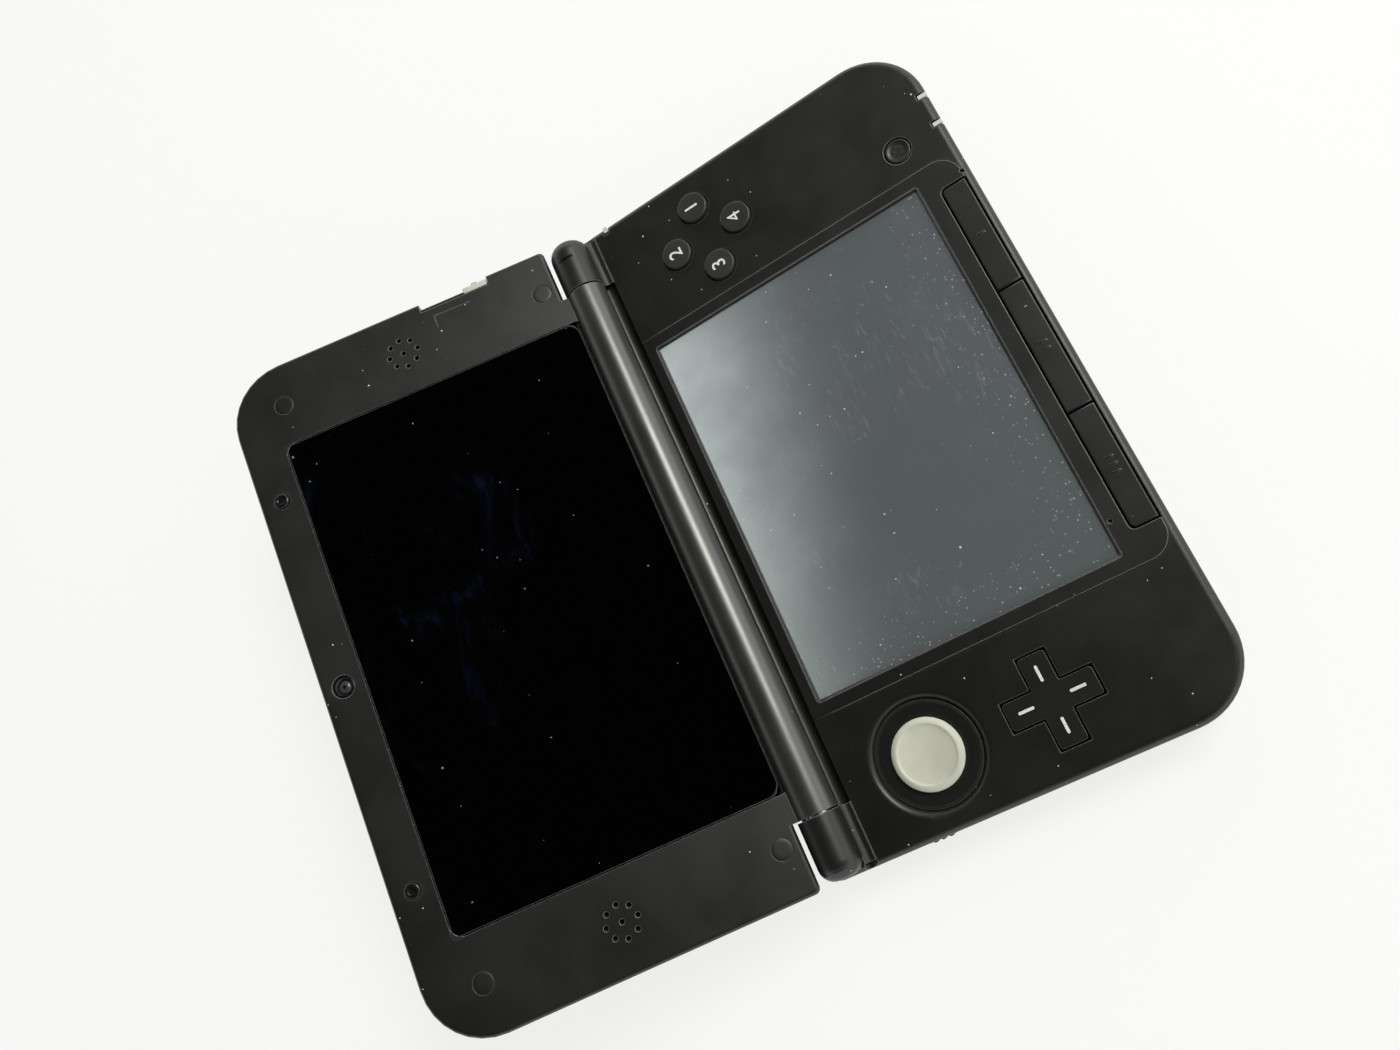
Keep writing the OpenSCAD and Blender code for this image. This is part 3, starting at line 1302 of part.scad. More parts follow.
module lid_bumpers() {
  color("#1c1c1c") in_lid() for (s = [-1, 1]) translate([s * bumper_x, bumper_u])
    rotate_extrude() polygon(post(bumper_r, lid_face - 1.15, lid_face + bumper_proud, 0, 0.4));
}

module screw_caps() {
  color("#2b2b2b") in_lid()
    for (p = caps_at) post_at(p[0], p[1], cap_r, lid_face - 0.65, lid_face - 0.02);
}

module lid_screws() {
  color("#8f9396") in_lid() for (p = lid_screws_at) difference() {
    union() {
      post_at(p[0], p[1], screw_head_r, lid_face - 1.65, lid_face - 1.25);
      post_at(p[0], p[1], screw_r, lid_floor + 1, lid_face - 1.3);
    }
    for (a = [0, 90])
      translate([p[0], p[1], lid_face - 1.25]) rotate(a) cube([2, 0.45, 0.3], center = true);
  }
}

// Barrel between the knuckles, open inside for the hinge unit and the flat cable
module lid_hinge_barrel() {
  color("#242424") in_lid() difference() {
    rod_x(-barrel_end, barrel_end, 0, 0, barrel_r);
    rod_x(1 + pin_in - knuckle_in, far, 0, 0, unit_r + run_fit);
    rod_x(-far, far, 0, 0, bush_r + run_fit);
    box([lid_ribbon_x0 - 0.2, 0, -0.6], [lid_ribbon_x1 + 0.2, far, 0.6]);
  }
}

// Click hinge unit in the barrel's right end
module hinge_unit() {
  color("#9ea3a6") in_lid() difference() {
    rod_x(barrel_end - unit_l, barrel_end, 0, 0, unit_r);
    rod_x(-far, far, 0, 0, pin_r + run_fit);
  }
}

lid_ribbon_x0 = pin_in - knuckle_in + 2.5;
lid_ribbon_x1 = lid_ribbon_x0 + ribbon_w;
lid_ribbon_n = -0.15;
lid_ribbon_low = lid_ceiling - upper_lcd_t - 0.7;

module lid_ribbon() {
  n_low = lid_ribbon_low;
  reach_u = lid_rear + wall + 6;
  color("#c98a3a") in_lid() {
    box([pin_in - knuckle_in + 0.6, -1.2, lid_ribbon_n], [lid_ribbon_x1, 1.2, lid_ribbon_n + ribbon_t]);
    box([lid_ribbon_x0, 0, lid_ribbon_n], [lid_ribbon_x1, lid_rear + 0.9, lid_ribbon_n + ribbon_t]);
    box([lid_ribbon_x0, lid_rear + 0.6, n_low], [lid_ribbon_x1, lid_rear + 0.9, lid_ribbon_n + ribbon_t]);
    box([lid_ribbon_x0, lid_rear + 0.6, n_low], [lid_ribbon_x1, reach_u, n_low + ribbon_t]);
  }
}

base_top_cover();
base_bottom_cover();
battery_cover();
battery();
main_board();
touch_panel();
lower_lcd();
lower_lcd_tray();
circle_pad_cap();
circle_pad_ring();
circle_pad_slider();
circle_pad_housing();
dpad();
dpad_rubber();
button_right();
button_top();
button_left();
button_bottom();
face_button_rubber();
power_button();
start_key();
home_key();
select_key();
key_rubber();
right_shoulder_button();
left_shoulder_button();
shoulder_pins();
volume_slider();
wireless_switch();
light_pipes();
sd_card_door();
sd_socket();
card_reader();
charging_socket();
infrared_window();
headphone_jack();
stylus();
rubber_feet();
case_screws();
cover_screws();
hinge_pin();
hinge_bush();
base_ribbon();
lid_outer_cover();
lid_inner_cover();
upper_window();
upper_lcd();
upper_board();
right_speaker();
left_speaker();
inner_camera();
outer_cameras();
camera_windows();
depth_slider();
lid_bumpers();
screw_caps();
lid_screws();
lid_hinge_barrel();
hinge_unit();
lid_ribbon();
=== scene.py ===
import math
import bmesh
import bpy
from mathutils import Matrix, Vector


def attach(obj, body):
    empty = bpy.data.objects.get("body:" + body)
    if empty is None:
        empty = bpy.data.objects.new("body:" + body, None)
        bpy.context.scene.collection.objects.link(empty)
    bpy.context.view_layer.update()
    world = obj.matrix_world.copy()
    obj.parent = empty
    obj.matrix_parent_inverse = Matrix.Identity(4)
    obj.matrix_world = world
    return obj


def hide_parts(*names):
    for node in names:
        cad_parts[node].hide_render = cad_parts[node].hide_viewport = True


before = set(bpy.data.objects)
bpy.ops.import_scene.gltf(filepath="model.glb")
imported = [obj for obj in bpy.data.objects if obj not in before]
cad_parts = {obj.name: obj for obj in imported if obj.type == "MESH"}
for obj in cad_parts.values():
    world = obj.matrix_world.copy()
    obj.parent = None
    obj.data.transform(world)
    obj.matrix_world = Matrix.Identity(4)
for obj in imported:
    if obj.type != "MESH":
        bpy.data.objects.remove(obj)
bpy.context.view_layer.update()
bpy.context.scene.view_settings.view_transform = "Standard"

# Pieces are drawn in millimetres. A base piece is drawn with the hinge axis at y = 0 and the table
# at z = 0, a lid piece in the lid's own frame, from the hinge axis and the inner face's normal.
MM = 0.001
HINGE_Y = 1.5775
HINGE_Z = 15.2
OPEN_TILT = math.radians(19.3)
IN_BASE = Matrix.Translation((0, HINGE_Y * MM, 0)) @ Matrix.Scale(MM, 4)
IN_LID = (Matrix.Translation((0, HINGE_Y * MM, HINGE_Z * MM))
          @ Matrix.Rotation(OPEN_TILT, 4, "X") @ Matrix.Scale(MM, 4))
MIRROR = Matrix.Scale(-1, 4, (1, 0, 0))


# Places in millimetres

SCREEN_X, SCREEN_Y = 43.8, (-75.5, -9.1)    # touch screen's opening: half width, front and rear
FACE, FACE_REACH = (61.2, -30.8), 7.9       # middle of the four face buttons, and their way from it
POWER = (53.7, -75.9)
DPAD = (-62.5, -51.6)
CIRCLE = (-62.3, -25)
KEY_Y = (-84.9, -79.6)
LID_FACE = 1.7                              # lid's inner face, over the hinge axis
WINDOW_X, WINDOW_Y = 57.5, (5, 77.1)        # lid's window: half width, hinge side and far side
CAP_X, CAP_Y = 67.5, (9.5, 74.3)            # caps over the lid's screws
BUMPER_X, BUMPER_Y = 45.4, 81.7
INNER_EYE = (0, 81.95)
OUTER_EYE_X, OUTER_EYE_Y = 17.5, 80


# Camera fitted to the photograph

CAMERA_PLACE = Vector((-66.04, -72.61, 240.94))
CAMERA_RIGHT = Vector((-0.39326, -0.83542, -0.38395)).normalized()
CAMERA_UP = Vector((0.87778, -0.46540, 0.11359)).normalized()

optics = bpy.data.cameras.new("camera")
optics.lens = 29.12
optics.sensor_width = 36
optics.clip_start = 0.01
camera = bpy.data.objects.new("camera", optics)
bpy.context.scene.collection.objects.link(camera)
turn = Matrix((CAMERA_RIGHT, CAMERA_UP, CAMERA_RIGHT.cross(CAMERA_UP))).transposed().to_4x4()
camera.matrix_world = Matrix.Translation(CAMERA_PLACE * MM) @ turn
bpy.context.scene.camera = camera


# Node helpers

def fill(tree, node, inputs):
    """Fills a node's inputs with values or links."""
    for name, value in inputs.items():
        if isinstance(value, bpy.types.NodeSocket):
            tree.links.new(value, node.inputs[name])
        else:
            node.inputs[name].default_value = value


def add(tree, kind, inputs=None, **settings):
    """Adds a node, sets its settings and fills its inputs."""
    node = tree.nodes.new(kind)
    for name, value in settings.items():
        setattr(node, name, value)
    fill(tree, node, inputs or {})
    return node


def places(tree, scale=(1, 1, 1), angle=0.0):
    """Object coordinates, stretched and turned about Z."""
    coords = add(tree, "ShaderNodeTexCoord").outputs["Object"]
    return add(tree, "ShaderNodeMapping", {"Vector": coords, "Scale": scale,
                                           "Rotation": (0, 0, angle)}).outputs["Vector"]


def axes(tree, vector):
    """The three coordinates of a vector."""
    return add(tree, "ShaderNodeSeparateXYZ", {"Vector": vector}).outputs


def vectors(tree, kind, *inputs):
    """One step of arithmetic on vectors."""
    return add(tree, "ShaderNodeVectorMath", dict(enumerate(inputs)), operation=kind).outputs


def sums(tree, kind, a, b, clamp=False):
    """One step of arithmetic on numbers or links."""
    return add(tree, "ShaderNodeMath", {0: a, 1: b}, operation=kind, use_clamp=clamp).outputs[0]


def times(tree, a, b):
    """Product of two numbers or links."""
    return sums(tree, "MULTIPLY", a, b)


def most(tree, a, b):
    """The greater of two numbers or links."""
    return sums(tree, "MAXIMUM", a, b)


def ranged(tree, value, low, high, new_low=0.0, new_high=1.0):
    """Carries a value from one range to another, with soft ends."""
    return add(tree, "ShaderNodeMapRange", {"Value": value, "From Min": low, "From Max": high,
                                            "To Min": new_low, "To Max": new_high},
               interpolation_type="SMOOTHSTEP").outputs["Result"]


def rgba(tone, share=1.0):
    """A tone made darker or lighter by a share, with its alpha."""
    return [c * share for c in tone] + [1]


def mixed(tree, share, a, b):
    """Mixes two colours."""
    return add(tree, "ShaderNodeMix", {0: share, 6: a, 7: b}, data_type="RGBA").outputs[2]


def noise(tree, where, scale, detail=3.0, rough=0.55, warp=0.0):
    """Cloudy noise as a number."""
    return add(tree, "ShaderNodeTexNoise", {"Vector": where, "Scale": scale, "Detail": detail,
                                            "Roughness": rough, "Distortion": warp}).outputs["Fac"]


def specks(tree, where, scale, size, share):
    """Small round specks: a share of the cells of a random grid holds one each."""
    cells = add(tree, "ShaderNodeTexVoronoi", {"Vector": where, "Scale": scale}, feature="F1")
    draws = add(tree, "ShaderNodeSeparateColor", {"Color": cells.outputs["Color"]}).outputs
    chosen = sums(tree, "LESS_THAN", draws[0], share)
    wide = ranged(tree, draws[1], 0.0, 1.0, 0.35 * size, size)
    return times(tree, chosen, sums(tree, "LESS_THAN", cells.outputs["Distance"], wide))


def hairs(tree, where, scale, width, share):
    """Short thin curved hairs: parts of the borders between the cells of a warped grid."""
    bend = add(tree, "ShaderNodeTexNoise", {"Vector": where, "Scale": scale * 1.6,
                                            "Detail": 2.0}).outputs["Color"]
    bend = vectors(tree, "MULTIPLY", bend, (0.012, 0.012, 0.0))["Vector"]
    moved = vectors(tree, "ADD", where, bend)["Vector"]
    border = add(tree, "ShaderNodeTexVoronoi", {"Vector": moved, "Scale": scale},
                 feature="DISTANCE_TO_EDGE").outputs["Distance"]
    parts = ranged(tree, noise(tree, where, scale * 2.7, 1), 1 - share, 1.02 - share)
    return times(tree, sums(tree, "LESS_THAN", border, width), parts)


def soft_edges(tree, radius):
    """Shading normal with round edges, a mask for the painted highlight on outer edges, and how
    open a place lies.
    """
    bevel = add(tree, "ShaderNodeBevel", {"Radius": radius}, samples=6).outputs[0]
    flat = add(tree, "ShaderNodeNewGeometry").outputs["Normal"]
    dot = vectors(tree, "DOT_PRODUCT", bevel, flat)["Value"]
    open_near = add(tree, "ShaderNodeAmbientOcclusion", {"Distance": OPEN_REACH},
                    samples=6).outputs["AO"]
    painted_highlight = times(tree, ranged(tree, dot, 0.985, 0.86), ranged(tree, open_near, 0.50, 0.75))
    return bevel, painted_highlight, open_near


def bumped(tree, height, strength, depth, normal=None):
    """Shading normal with relief, over a given normal if there is one."""
    inputs = {"Height": height, "Strength": strength, "Distance": depth}
    if normal is not None:
        inputs["Normal"] = normal
    return add(tree, "ShaderNodeBump", inputs).outputs[0]


# Finishes with lengths in metres

FINISHES = {}
OPEN_REACH = 0.0009                      # how far a place looks round for walls beside it
CAP_RING = (0.0028, 0.0033)              # where the weakened painted edge highlight round a screw cap ends
TROUGH_FRONT = (-0.0095, -0.0088)        # soft ends of the hinge trough
TROUGH_REAR = (0.0035, 0.0030)
TROUGH_HALF = 0.0640                     # half its length
# Colour of the painted shade in corners, hollows and on side walls
PAINTED_SHADE_BLACK = (0.0002, 0.0002, 0.0002, 1)
SCUFF = (0.35, 0.35, 0.34, 1)
GRIT = (0.56, 0.56, 0.54, 1)
# FILM_PAINTED_GLOW is the painted reflection on the film's rear
FILM_FRONT, FILM_PAINTED_GLOW = (0.093, 0.109, 0.115, 1), (0.68, 0.78, 0.79, 1)
FILM_TINT = (0.104, 0.094, 0.135, 1)
FILM_WIPE = (0.42, 0.47, 0.49, 1)
FILM_DUST = (0.74, 0.76, 0.74, 1)
GLASS, GLASS_SMEAR = (0.0003, 0.0003, 0.0004, 1), (0.004, 0.007, 0.019, 1)
GLASS_DUST = (0.42, 0.45, 0.5, 1)


def new_finish(name, roughness, metal=0.0, shine=0.5):
    """Starts a material with its constants on the shader. Returns its tree and its shader."""
    FINISHES[name] = bpy.data.materials.new(name)
    FINISHES[name].use_nodes = True
    tree = FINISHES[name].node_tree
    shader = tree.nodes["Principled BSDF"]
    fill(tree, shader, {"Roughness": roughness, "Metallic": metal, "Specular IOR Level": shine})
    return tree, shader


def calm_places(tree, where):
    """Weakens the painted edge highlight: low round the screw caps and in the hinge trough, where
    edges catch little light, else 1.
    """
    near = vectors(tree, "ABSOLUTE", where)["Vector"]
    calm = 1.0
    for y in CAP_Y:
        middle = tuple(IN_LID @ Vector((CAP_X, y, LID_FACE)))
        away = vectors(tree, "DISTANCE", near, middle)["Value"]
        calm = times(tree, calm, ranged(tree, away, *CAP_RING, 0.30, 1.0))
    y = axes(tree, where)[1]
    trough = times(tree, ranged(tree, y, *TROUGH_FRONT), ranged(tree, y, *TROUGH_REAR))
    trough = times(tree, trough, sums(tree, "LESS_THAN", axes(tree, near)[0], TROUGH_HALF))
    return times(tree, calm, sums(tree, "SUBTRACT", 1.0, times(tree, trough, 0.7)))


def moulded(name, tone, roughness, shine, dust, edge=0.00024, highlight_tone=0.22, streak=None,
            grain=0.25, painted_wall_shade=False, coat=0.0, calm=False):
    """Satin moulded plastic: grain, mottling, dust and thin scuffs, with painted highlights on
    outer edges and painted shade in corners and on side walls.
    """
    tree, shader = new_finish(name, roughness, 0.0, shine)
    where = places(tree)
    mottle = noise(tree, where, 55, 5, 0.6, 0.4)
    base = mixed(tree, ranged(tree, mottle, 0.3, 0.7), rgba(tone, 0.85), rgba(tone, 1.15))
    smooth, painted_highlight, open_near = soft_edges(tree, edge)
    # Painted shade: near black where walls stand close
    painted_shade = ranged(tree, open_near, 0.94, 0.60)
    if painted_wall_shade:
        # Painted shade on side walls, which get no painted edge highlight
        up = axes(tree, add(tree, "ShaderNodeTexCoord").outputs["Normal"])[2]
        wall_shade = ranged(tree, up, 0.75, 0.45)
        painted_shade = most(tree, painted_shade, wall_shade)
        painted_highlight = times(tree, painted_highlight, sums(tree, "SUBTRACT", 1.0, wall_shade))
    if calm:
        painted_highlight = times(tree, painted_highlight, calm_places(tree, where))
    base = mixed(tree, times(tree, painted_shade, 0.97), base, PAINTED_SHADE_BLACK)
    # Painted highlight: lighter along outer edges
    base = mixed(tree, times(tree, painted_highlight, 0.85), base, (highlight_tone, highlight_tone, highlight_tone * 0.95, 1))
    scuffs = noise(tree, places(tree, (90, 1500, 300), 0.7), 1.0, 2, 0.5, 0.3)
    scuffs = times(tree, ranged(tree, scuffs, 0.72, 0.80), ranged(tree, mottle, 0.5, 0.66))
    base = mixed(tree, times(tree, scuffs, 0.08 * dust), base, SCUFF)
    grit = most(tree, specks(tree, where, 360, 0.062, 0.50), specks(tree, where, 150, 0.040, 0.55))
    grit = most(tree, grit, specks(tree, places(tree, (1, 0.25, 1), 0.9), 420, 0.05, 0.08))
    base = mixed(tree, times(tree, grit, 0.95 * dust), base, GRIT)
    rough = ranged(tree, mottle, 0.25, 0.75, roughness - 0.03, roughness + 0.05)
    rough = sums(tree, "ADD", rough, times(tree, painted_shade, 0.6), clamp=True)
    height = noise(tree, where, 5200, 2, 0.6)
    if streak:
        lines = noise(tree, places(tree, streak), 1.0, 3, 0.6)
        height = sums(tree, "ADD", times(tree, height, 0.4), lines)
    fill(tree, shader, {"Base Color": base, "Roughness": rough,
                        "Coat Weight": coat, "Coat Roughness": 0.30,
                        "Normal": bumped(tree, height, grain, 0.00003, smooth)})


def touch_film(name):
    """Slate grey satin film: bluish smears, fine dust, thicker along the edges, a few hairs, and a
    painted reflection.
    """
    tree, shader = new_finish(name, 0.27, 0.0, 0.62)
    where = places(tree)
    x, y = axes(tree, where)[:2]
    # Painted reflection of a lamp: the film lightens towards the rear
    cloud = noise(tree, where, 22, 4, 0.55, 0.2)
    painted_glow = sums(tree, "ADD", times(tree, x, 0.22), y)
    painted_glow = sums(tree, "ADD", painted_glow, times(tree, sums(tree, "SUBTRACT", cloud, 0.5), 0.012))
    painted_glow = sums(tree, "POWER", ranged(tree, painted_glow, -0.056, 0.008), 2.6)
    base = mixed(tree, painted_glow, FILM_FRONT, FILM_PAINTED_GLOW)
    tint = noise(tree, where, 34, 4, 0.55)
    base = mixed(tree, times(tree, ranged(tree, tint, 0.42, 0.72), 0.32), base, FILM_TINT)
    wipes = noise(tree, places(tree, (260, 900, 300), 0.6), 1.0, 4, 0.6, 0.8)
    rubbed = ranged(tree, noise(tree, where, 46, 2), 0.48, 0.62)
    wipes = times(tree, ranged(tree, wipes, 0.52, 0.74), rubbed)
    base = mixed(tree, times(tree, wipes, 0.16), base, FILM_WIPE)
    # Dust lies mostly along the left, front and rear edges
    edge = most(tree, ranged(tree, y, -0.058, -0.074), ranged(tree, x, -0.030, -0.0436))
    edge = most(tree, edge, ranged(tree, y, -0.013, -0.008))
    thick = times(tree, specks(tree, where, 1500, 0.30, 0.34), edge)
    thin = most(tree, specks(tree, where, 460, 0.088, 0.42), specks(tree, where, 170, 0.045, 0.50))
    dust = most(tree, times(tree, thick, 0.34), times(tree, thin, 0.72))
    dust = most(tree, dust, times(tree, hairs(tree, where, 110, 0.0045, 0.32), 0.24))
    rub = sums(tree, "ADD", noise(tree, where, 90, 3, 0.5), times(tree, dust, 0.4))
    fill(tree, shader, {"Base Color": mixed(tree, dust, base, FILM_DUST),
                        "Roughness": ranged(tree, rub, 0.3, 0.9, 0.26, 0.34)})


def black_glass(name):
    """Glossy black window with faint bluish finger smears and fine dust."""
    tree, shader = new_finish(name, 0.05, 0.0, 0.12)
    where = places(tree)
    smear = noise(tree, places(tree, (34, 90, 60), -0.3), 1.0, 7, 0.72, 0.9)
    patch = ranged(tree, noise(tree, where, 17, 2), 0.50, 0.64)
    smear = times(tree, ranged(tree, smear, 0.54, 0.80), patch)
    base = mixed(tree, smear, GLASS, GLASS_SMEAR)
    grit = most(tree, specks(tree, where, 320, 0.060, 0.30), specks(tree, where, 150, 0.04, 0.30))
    fill(tree, shader, {"Base Color": mixed(tree, times(tree, grit, 0.42), base, GLASS_DUST),
                        "Roughness": ranged(tree, smear, 0.0, 1.0, 0.04, 0.20)})


def metal(name, tone, roughness, streak):
    """Brushed or turned metal."""
    tree, shader = new_finish(name, roughness, 1.0)
    lines = noise(tree, places(tree, streak), 1.0, 3, 0.6)
    blotch = noise(tree, places(tree), 220, 3)
    rough = ranged(tree, lines, 0.2, 0.8, roughness - 0.08, roughness + 0.1)
    fill(tree, shader, {"Base Color": mixed(tree, blotch, rgba(tone, 0.85), rgba(tone, 1.1)),
                        "Roughness": rough, "Normal": bumped(tree, lines, 0.15, 0.00002)})


def patterned(name, low, high, scale, roughness, stretch=(1, 1, 1), relief=0.2, shine=0.4):
    """Two tones in a fine pattern, with relief: marks, boards, flat cables, rubber, labels."""
    tree, shader = new_finish(name, roughness, 0.0, shine)
    pattern = noise(tree, places(tree, stretch), scale, 4, 0.6)
    tone = mixed(tree, ranged(tree, pattern, 0.45, 0.55), rgba(low), rgba(high))
    rough = ranged(tree, pattern, 0.2, 0.8, roughness - 0.06, roughness + 0.08)
    fill(tree, shader, {"Base Color": tone, "Roughness": rough,
                        "Normal": bumped(tree, pattern, relief, 0.00005)})


def clear_plastic(name):
    """Milky clear plastic of the light pipes."""
    tree, shader = new_finish(name, 0.22)
    cloud = noise(tree, places(tree), 900, 3)
    tone = mixed(tree, cloud, (0.50, 0.51, 0.48, 1), (0.72, 0.73, 0.70, 1))
    fill(tree, shader, {"Base Color": tone, "Roughness": ranged(tree, cloud, 0.2, 0.8, 0.15, 0.35)})


patterned("mark_grey", (0.66, 0.67, 0.66), (0.78, 0.79, 0.78), 1500, 0.5, relief=0.05)
moulded("shell_black", (0.0064, 0.0064, 0.0061), 0.37, 0.54, 1.0, 0.00032, calm=True)
# The barrel is the shell's plastic; its lighter base tone is painted light
moulded("barrel_black", (0.0160, 0.0160, 0.0136), 0.34, 1.0, 0.4, streak=(40, 2200, 2200),
        coat=0.35)
moulded("key_black", (0.0058, 0.0056, 0.0056), 0.38, 0.52, 0.5)
moulded("cap_black", (0.0078, 0.0075, 0.0074), 0.38, 0.50, 0.5, 0.00020, 0.24, painted_wall_shade=True)
moulded("button_dark", (0.0165, 0.0165, 0.0165), 0.42, 0.60, 0.5, 0.00018, 0.24, grain=0.5,
        painted_wall_shade=True)
moulded("pad_grey", (0.58, 0.59, 0.50), 0.50, 0.35, 0.08, 0.0002, 0.66, grain=0.10)
moulded("slider_grey", (0.52, 0.52, 0.49), 0.5, 0.35, 0.1, 0.0002, 0.58)
clear_plastic("light_clear")
black_glass("window_black")
touch_film("touch_film")
patterned("display_glass", (0.02, 0.022, 0.024), (0.03, 0.034, 0.036), 300, 0.2, relief=0.05)
patterned("rubber_black", (0.010, 0.010, 0.010), (0.022, 0.022, 0.021), 2600, 0.75, shine=0.3)
metal("tin_plate", (0.62, 0.63, 0.64), 0.34, (60, 1800, 1800))
metal("steel", (0.55, 0.56, 0.58), 0.30, (900, 900, 900))
patterned("board_green", (0.010, 0.075, 0.030), (0.022, 0.13, 0.055), 240, 0.45, (1, 3, 1))
patterned("cable_amber", (0.42, 0.19, 0.03), (0.52, 0.26, 0.05), 1.0, 0.4, (2400, 30, 2400))
patterned("battery_grey", (0.52, 0.52, 0.49), (0.62, 0.62, 0.59), 900, 0.5)
patterned("socket_black", (0.006, 0.006, 0.006), (0.014, 0.014, 0.014), 1800, 0.42)
# Light tones of thin lines laid along edges: painted highlights. edge_grey also colours the power
# sign.
patterned("edge_light", (0.085, 0.085, 0.083), (0.12, 0.12, 0.117), 1500, 0.32, relief=0.05)
patterned("edge_grey", (0.028, 0.028, 0.028), (0.040, 0.040, 0.039), 1500, 0.30, relief=0.05)
patterned("lens_grey", (0.040, 0.040, 0.043), (0.060, 0.060, 0.064), 700, 0.12, relief=0.02)
patterned("gloss_black", (0.004, 0.004, 0.004), (0.007, 0.007, 0.007), 900, 0.16, relief=0.04)
patterned("camera_black", (0.004, 0.004, 0.005), (0.009, 0.009, 0.010), 1200, 0.25, relief=0.05)

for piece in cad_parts.values():
    piece.data.materials[0] = FINISHES[piece.data.materials[0].name.split(".")[0]]


# Selecting and edges

def clear():
    """Leaves edit mode and selects nothing."""
    if bpy.context.object and bpy.context.object.mode == "EDIT":
        bpy.ops.object.mode_set(mode="OBJECT")
    bpy.ops.object.select_all(action="DESELECT")


def only(piece):
    """Selects one piece and makes it the active one."""
    clear()
    piece.select_set(True)
    bpy.context.view_layer.objects.active = piece


def applied():
    """Puts the place, turn and size of the selected piece into its mesh."""
    bpy.ops.object.transform_apply(location=True, rotation=True, scale=True)


def renamed(piece, name):
    """Gives a piece and its mesh a name."""
    piece.name = piece.data.name = name
    return piece


def started(name):
    """Takes over the primitive just added."""
    piece = renamed(bpy.context.object, name)
    applied()
    return piece


def pick(piece, kind, test):
    """Selects in edit mode what passes a test: corners by place, edges and faces also by way."""
    def passes(part):
        if kind == "VERT":
            return test(part.co)
        if kind == "FACE":
            return test(part.calc_center_median(), part.normal)
        a, b = (vertex.co for vertex in part.verts)
        return test((a + b) / 2, (b - a).normalized())

    only(piece)
    bpy.ops.object.mode_set(mode="EDIT")
    bpy.ops.mesh.select_mode(type=kind)
    bpy.ops.mesh.select_all(action="DESELECT")
    mesh = bmesh.from_edit_mesh(piece.data)
    found = [part for part in {"VERT": mesh.verts, "EDGE": mesh.edges, "FACE": mesh.faces}[kind]
             if passes(part)]
    if not found:
        raise ValueError(f"nothing picked on {piece.name}")
    for part in found:
        part.select_set(True)
    bmesh.update_edit_mesh(piece.data)


def bevelled(width, segments):
    """Rounds the selected edges."""
    bpy.ops.mesh.bevel(offset=width, offset_type="OFFSET", segments=segments, affect="EDGES",
                       clamp_overlap=True)


def rounded(piece, width, segments, test):
    """Rounds the edges that pass a test."""
    pick(piece, "EDGE", test)
    bevelled(width, segments)


def upright(middle, way):
    """Test for edges along Z."""
    return abs(way.z) > 0.99


def at_height(z, near=0.01):
    """Test for level edges at a height."""
    return lambda middle, way: abs(middle.z - z) < near and abs(way.z) < 0.01


def outward():
    """Turns all faces in edit mode outwards."""
    bpy.ops.mesh.select_all(action="SELECT")
    bpy.ops.mesh.normals_make_consistent(inside=False)


def drawn_out(*way):
    """Draws the whole mesh in edit mode out along a way."""
    bpy.ops.mesh.select_all(action="SELECT")
    bpy.ops.mesh.extrude_region_move(TRANSFORM_OT_translate={"value": way})
    outward()


# Drawing helpers

def about(middle, half):
    """Limits of a width about its middle."""
    return middle - half, middle + half


def block(name, x, y, z):
    """Box between three pairs of limits."""
    clear()
    middle = [(a + b) / 2 for a, b in (x, y, z)]
    bpy.ops.mesh.primitive_cube_add(size=1, location=middle, scale=[b - a for a, b in (x, y, z)])
    return started(name)


def turned(name, rings, sides=64, x=0.0, y=0.0):
    """Turned piece: a filled circle, extruded and scaled from ring to ring of (radius, height)."""
    clear()
    radius, height = rings[0]
    bpy.ops.mesh.primitive_circle_add(vertices=sides, radius=radius, fill_type="NGON",
                                      location=(x, y, height))
    piece = started(name)
    bpy.ops.object.mode_set(mode="EDIT")
    bpy.ops.mesh.select_mode(type="FACE")
    bpy.ops.mesh.select_all(action="SELECT")
    for new_radius, new_height in rings[1:]:
        bpy.ops.mesh.extrude_region_move()
        if new_radius != radius:
            share = new_radius / radius
            bpy.ops.transform.resize(value=(share, share, 1), center_override=(x, y, height))
        if new_height != height:
            bpy.ops.transform.translate(value=(0, 0, new_height - height))
        radius, height = new_radius, new_height
    outward()
    return piece


def border(name, half_x, y, z, rear, front, width, fall, thick):
    """Rounded frame: a plate with rear and front corner radii, inset, lowered, its middle out."""
    clear()
    middle = (y[0] + y[1]) / 2
    bpy.ops.mesh.primitive_plane_add(size=1, location=(0, middle, z))
    bpy.context.object.scale = (half_x * 2, y[1] - y[0], 1)
    piece = started(name)
    for radius, sign in ((rear, 1), (front, -1)):
        pick(piece, "VERT", lambda place: (place.y - middle) * sign > (y[1] - y[0]) * 0.45)
        bpy.ops.mesh.bevel(offset=radius, segments=6, affect="VERTICES")
    bpy.ops.mesh.select_mode(type="FACE")
    bpy.ops.mesh.select_all(action="SELECT")
    bpy.ops.mesh.inset(thickness=width, depth=-fall)
    bpy.ops.mesh.delete(type="FACE")
    drawn_out(0, 0, -thick)
    return piece


def swept(name, profile, x0, x1):
    """Bar along X with the section given as (y, z) points."""
    clear()
    bpy.ops.mesh.primitive_circle_add(vertices=len(profile), radius=1, fill_type="NGON",
                                      rotation=(0, math.radians(90), 0), location=(x0, 0, 0))
    piece = started(name)
    for vertex, (y, z) in zip(piece.data.vertices, profile):
        vertex.co = (x0, y, z)
    only(piece)
    bpy.ops.object.mode_set(mode="EDIT")
    drawn_out(x1 - x0, 0, 0)
    return piece


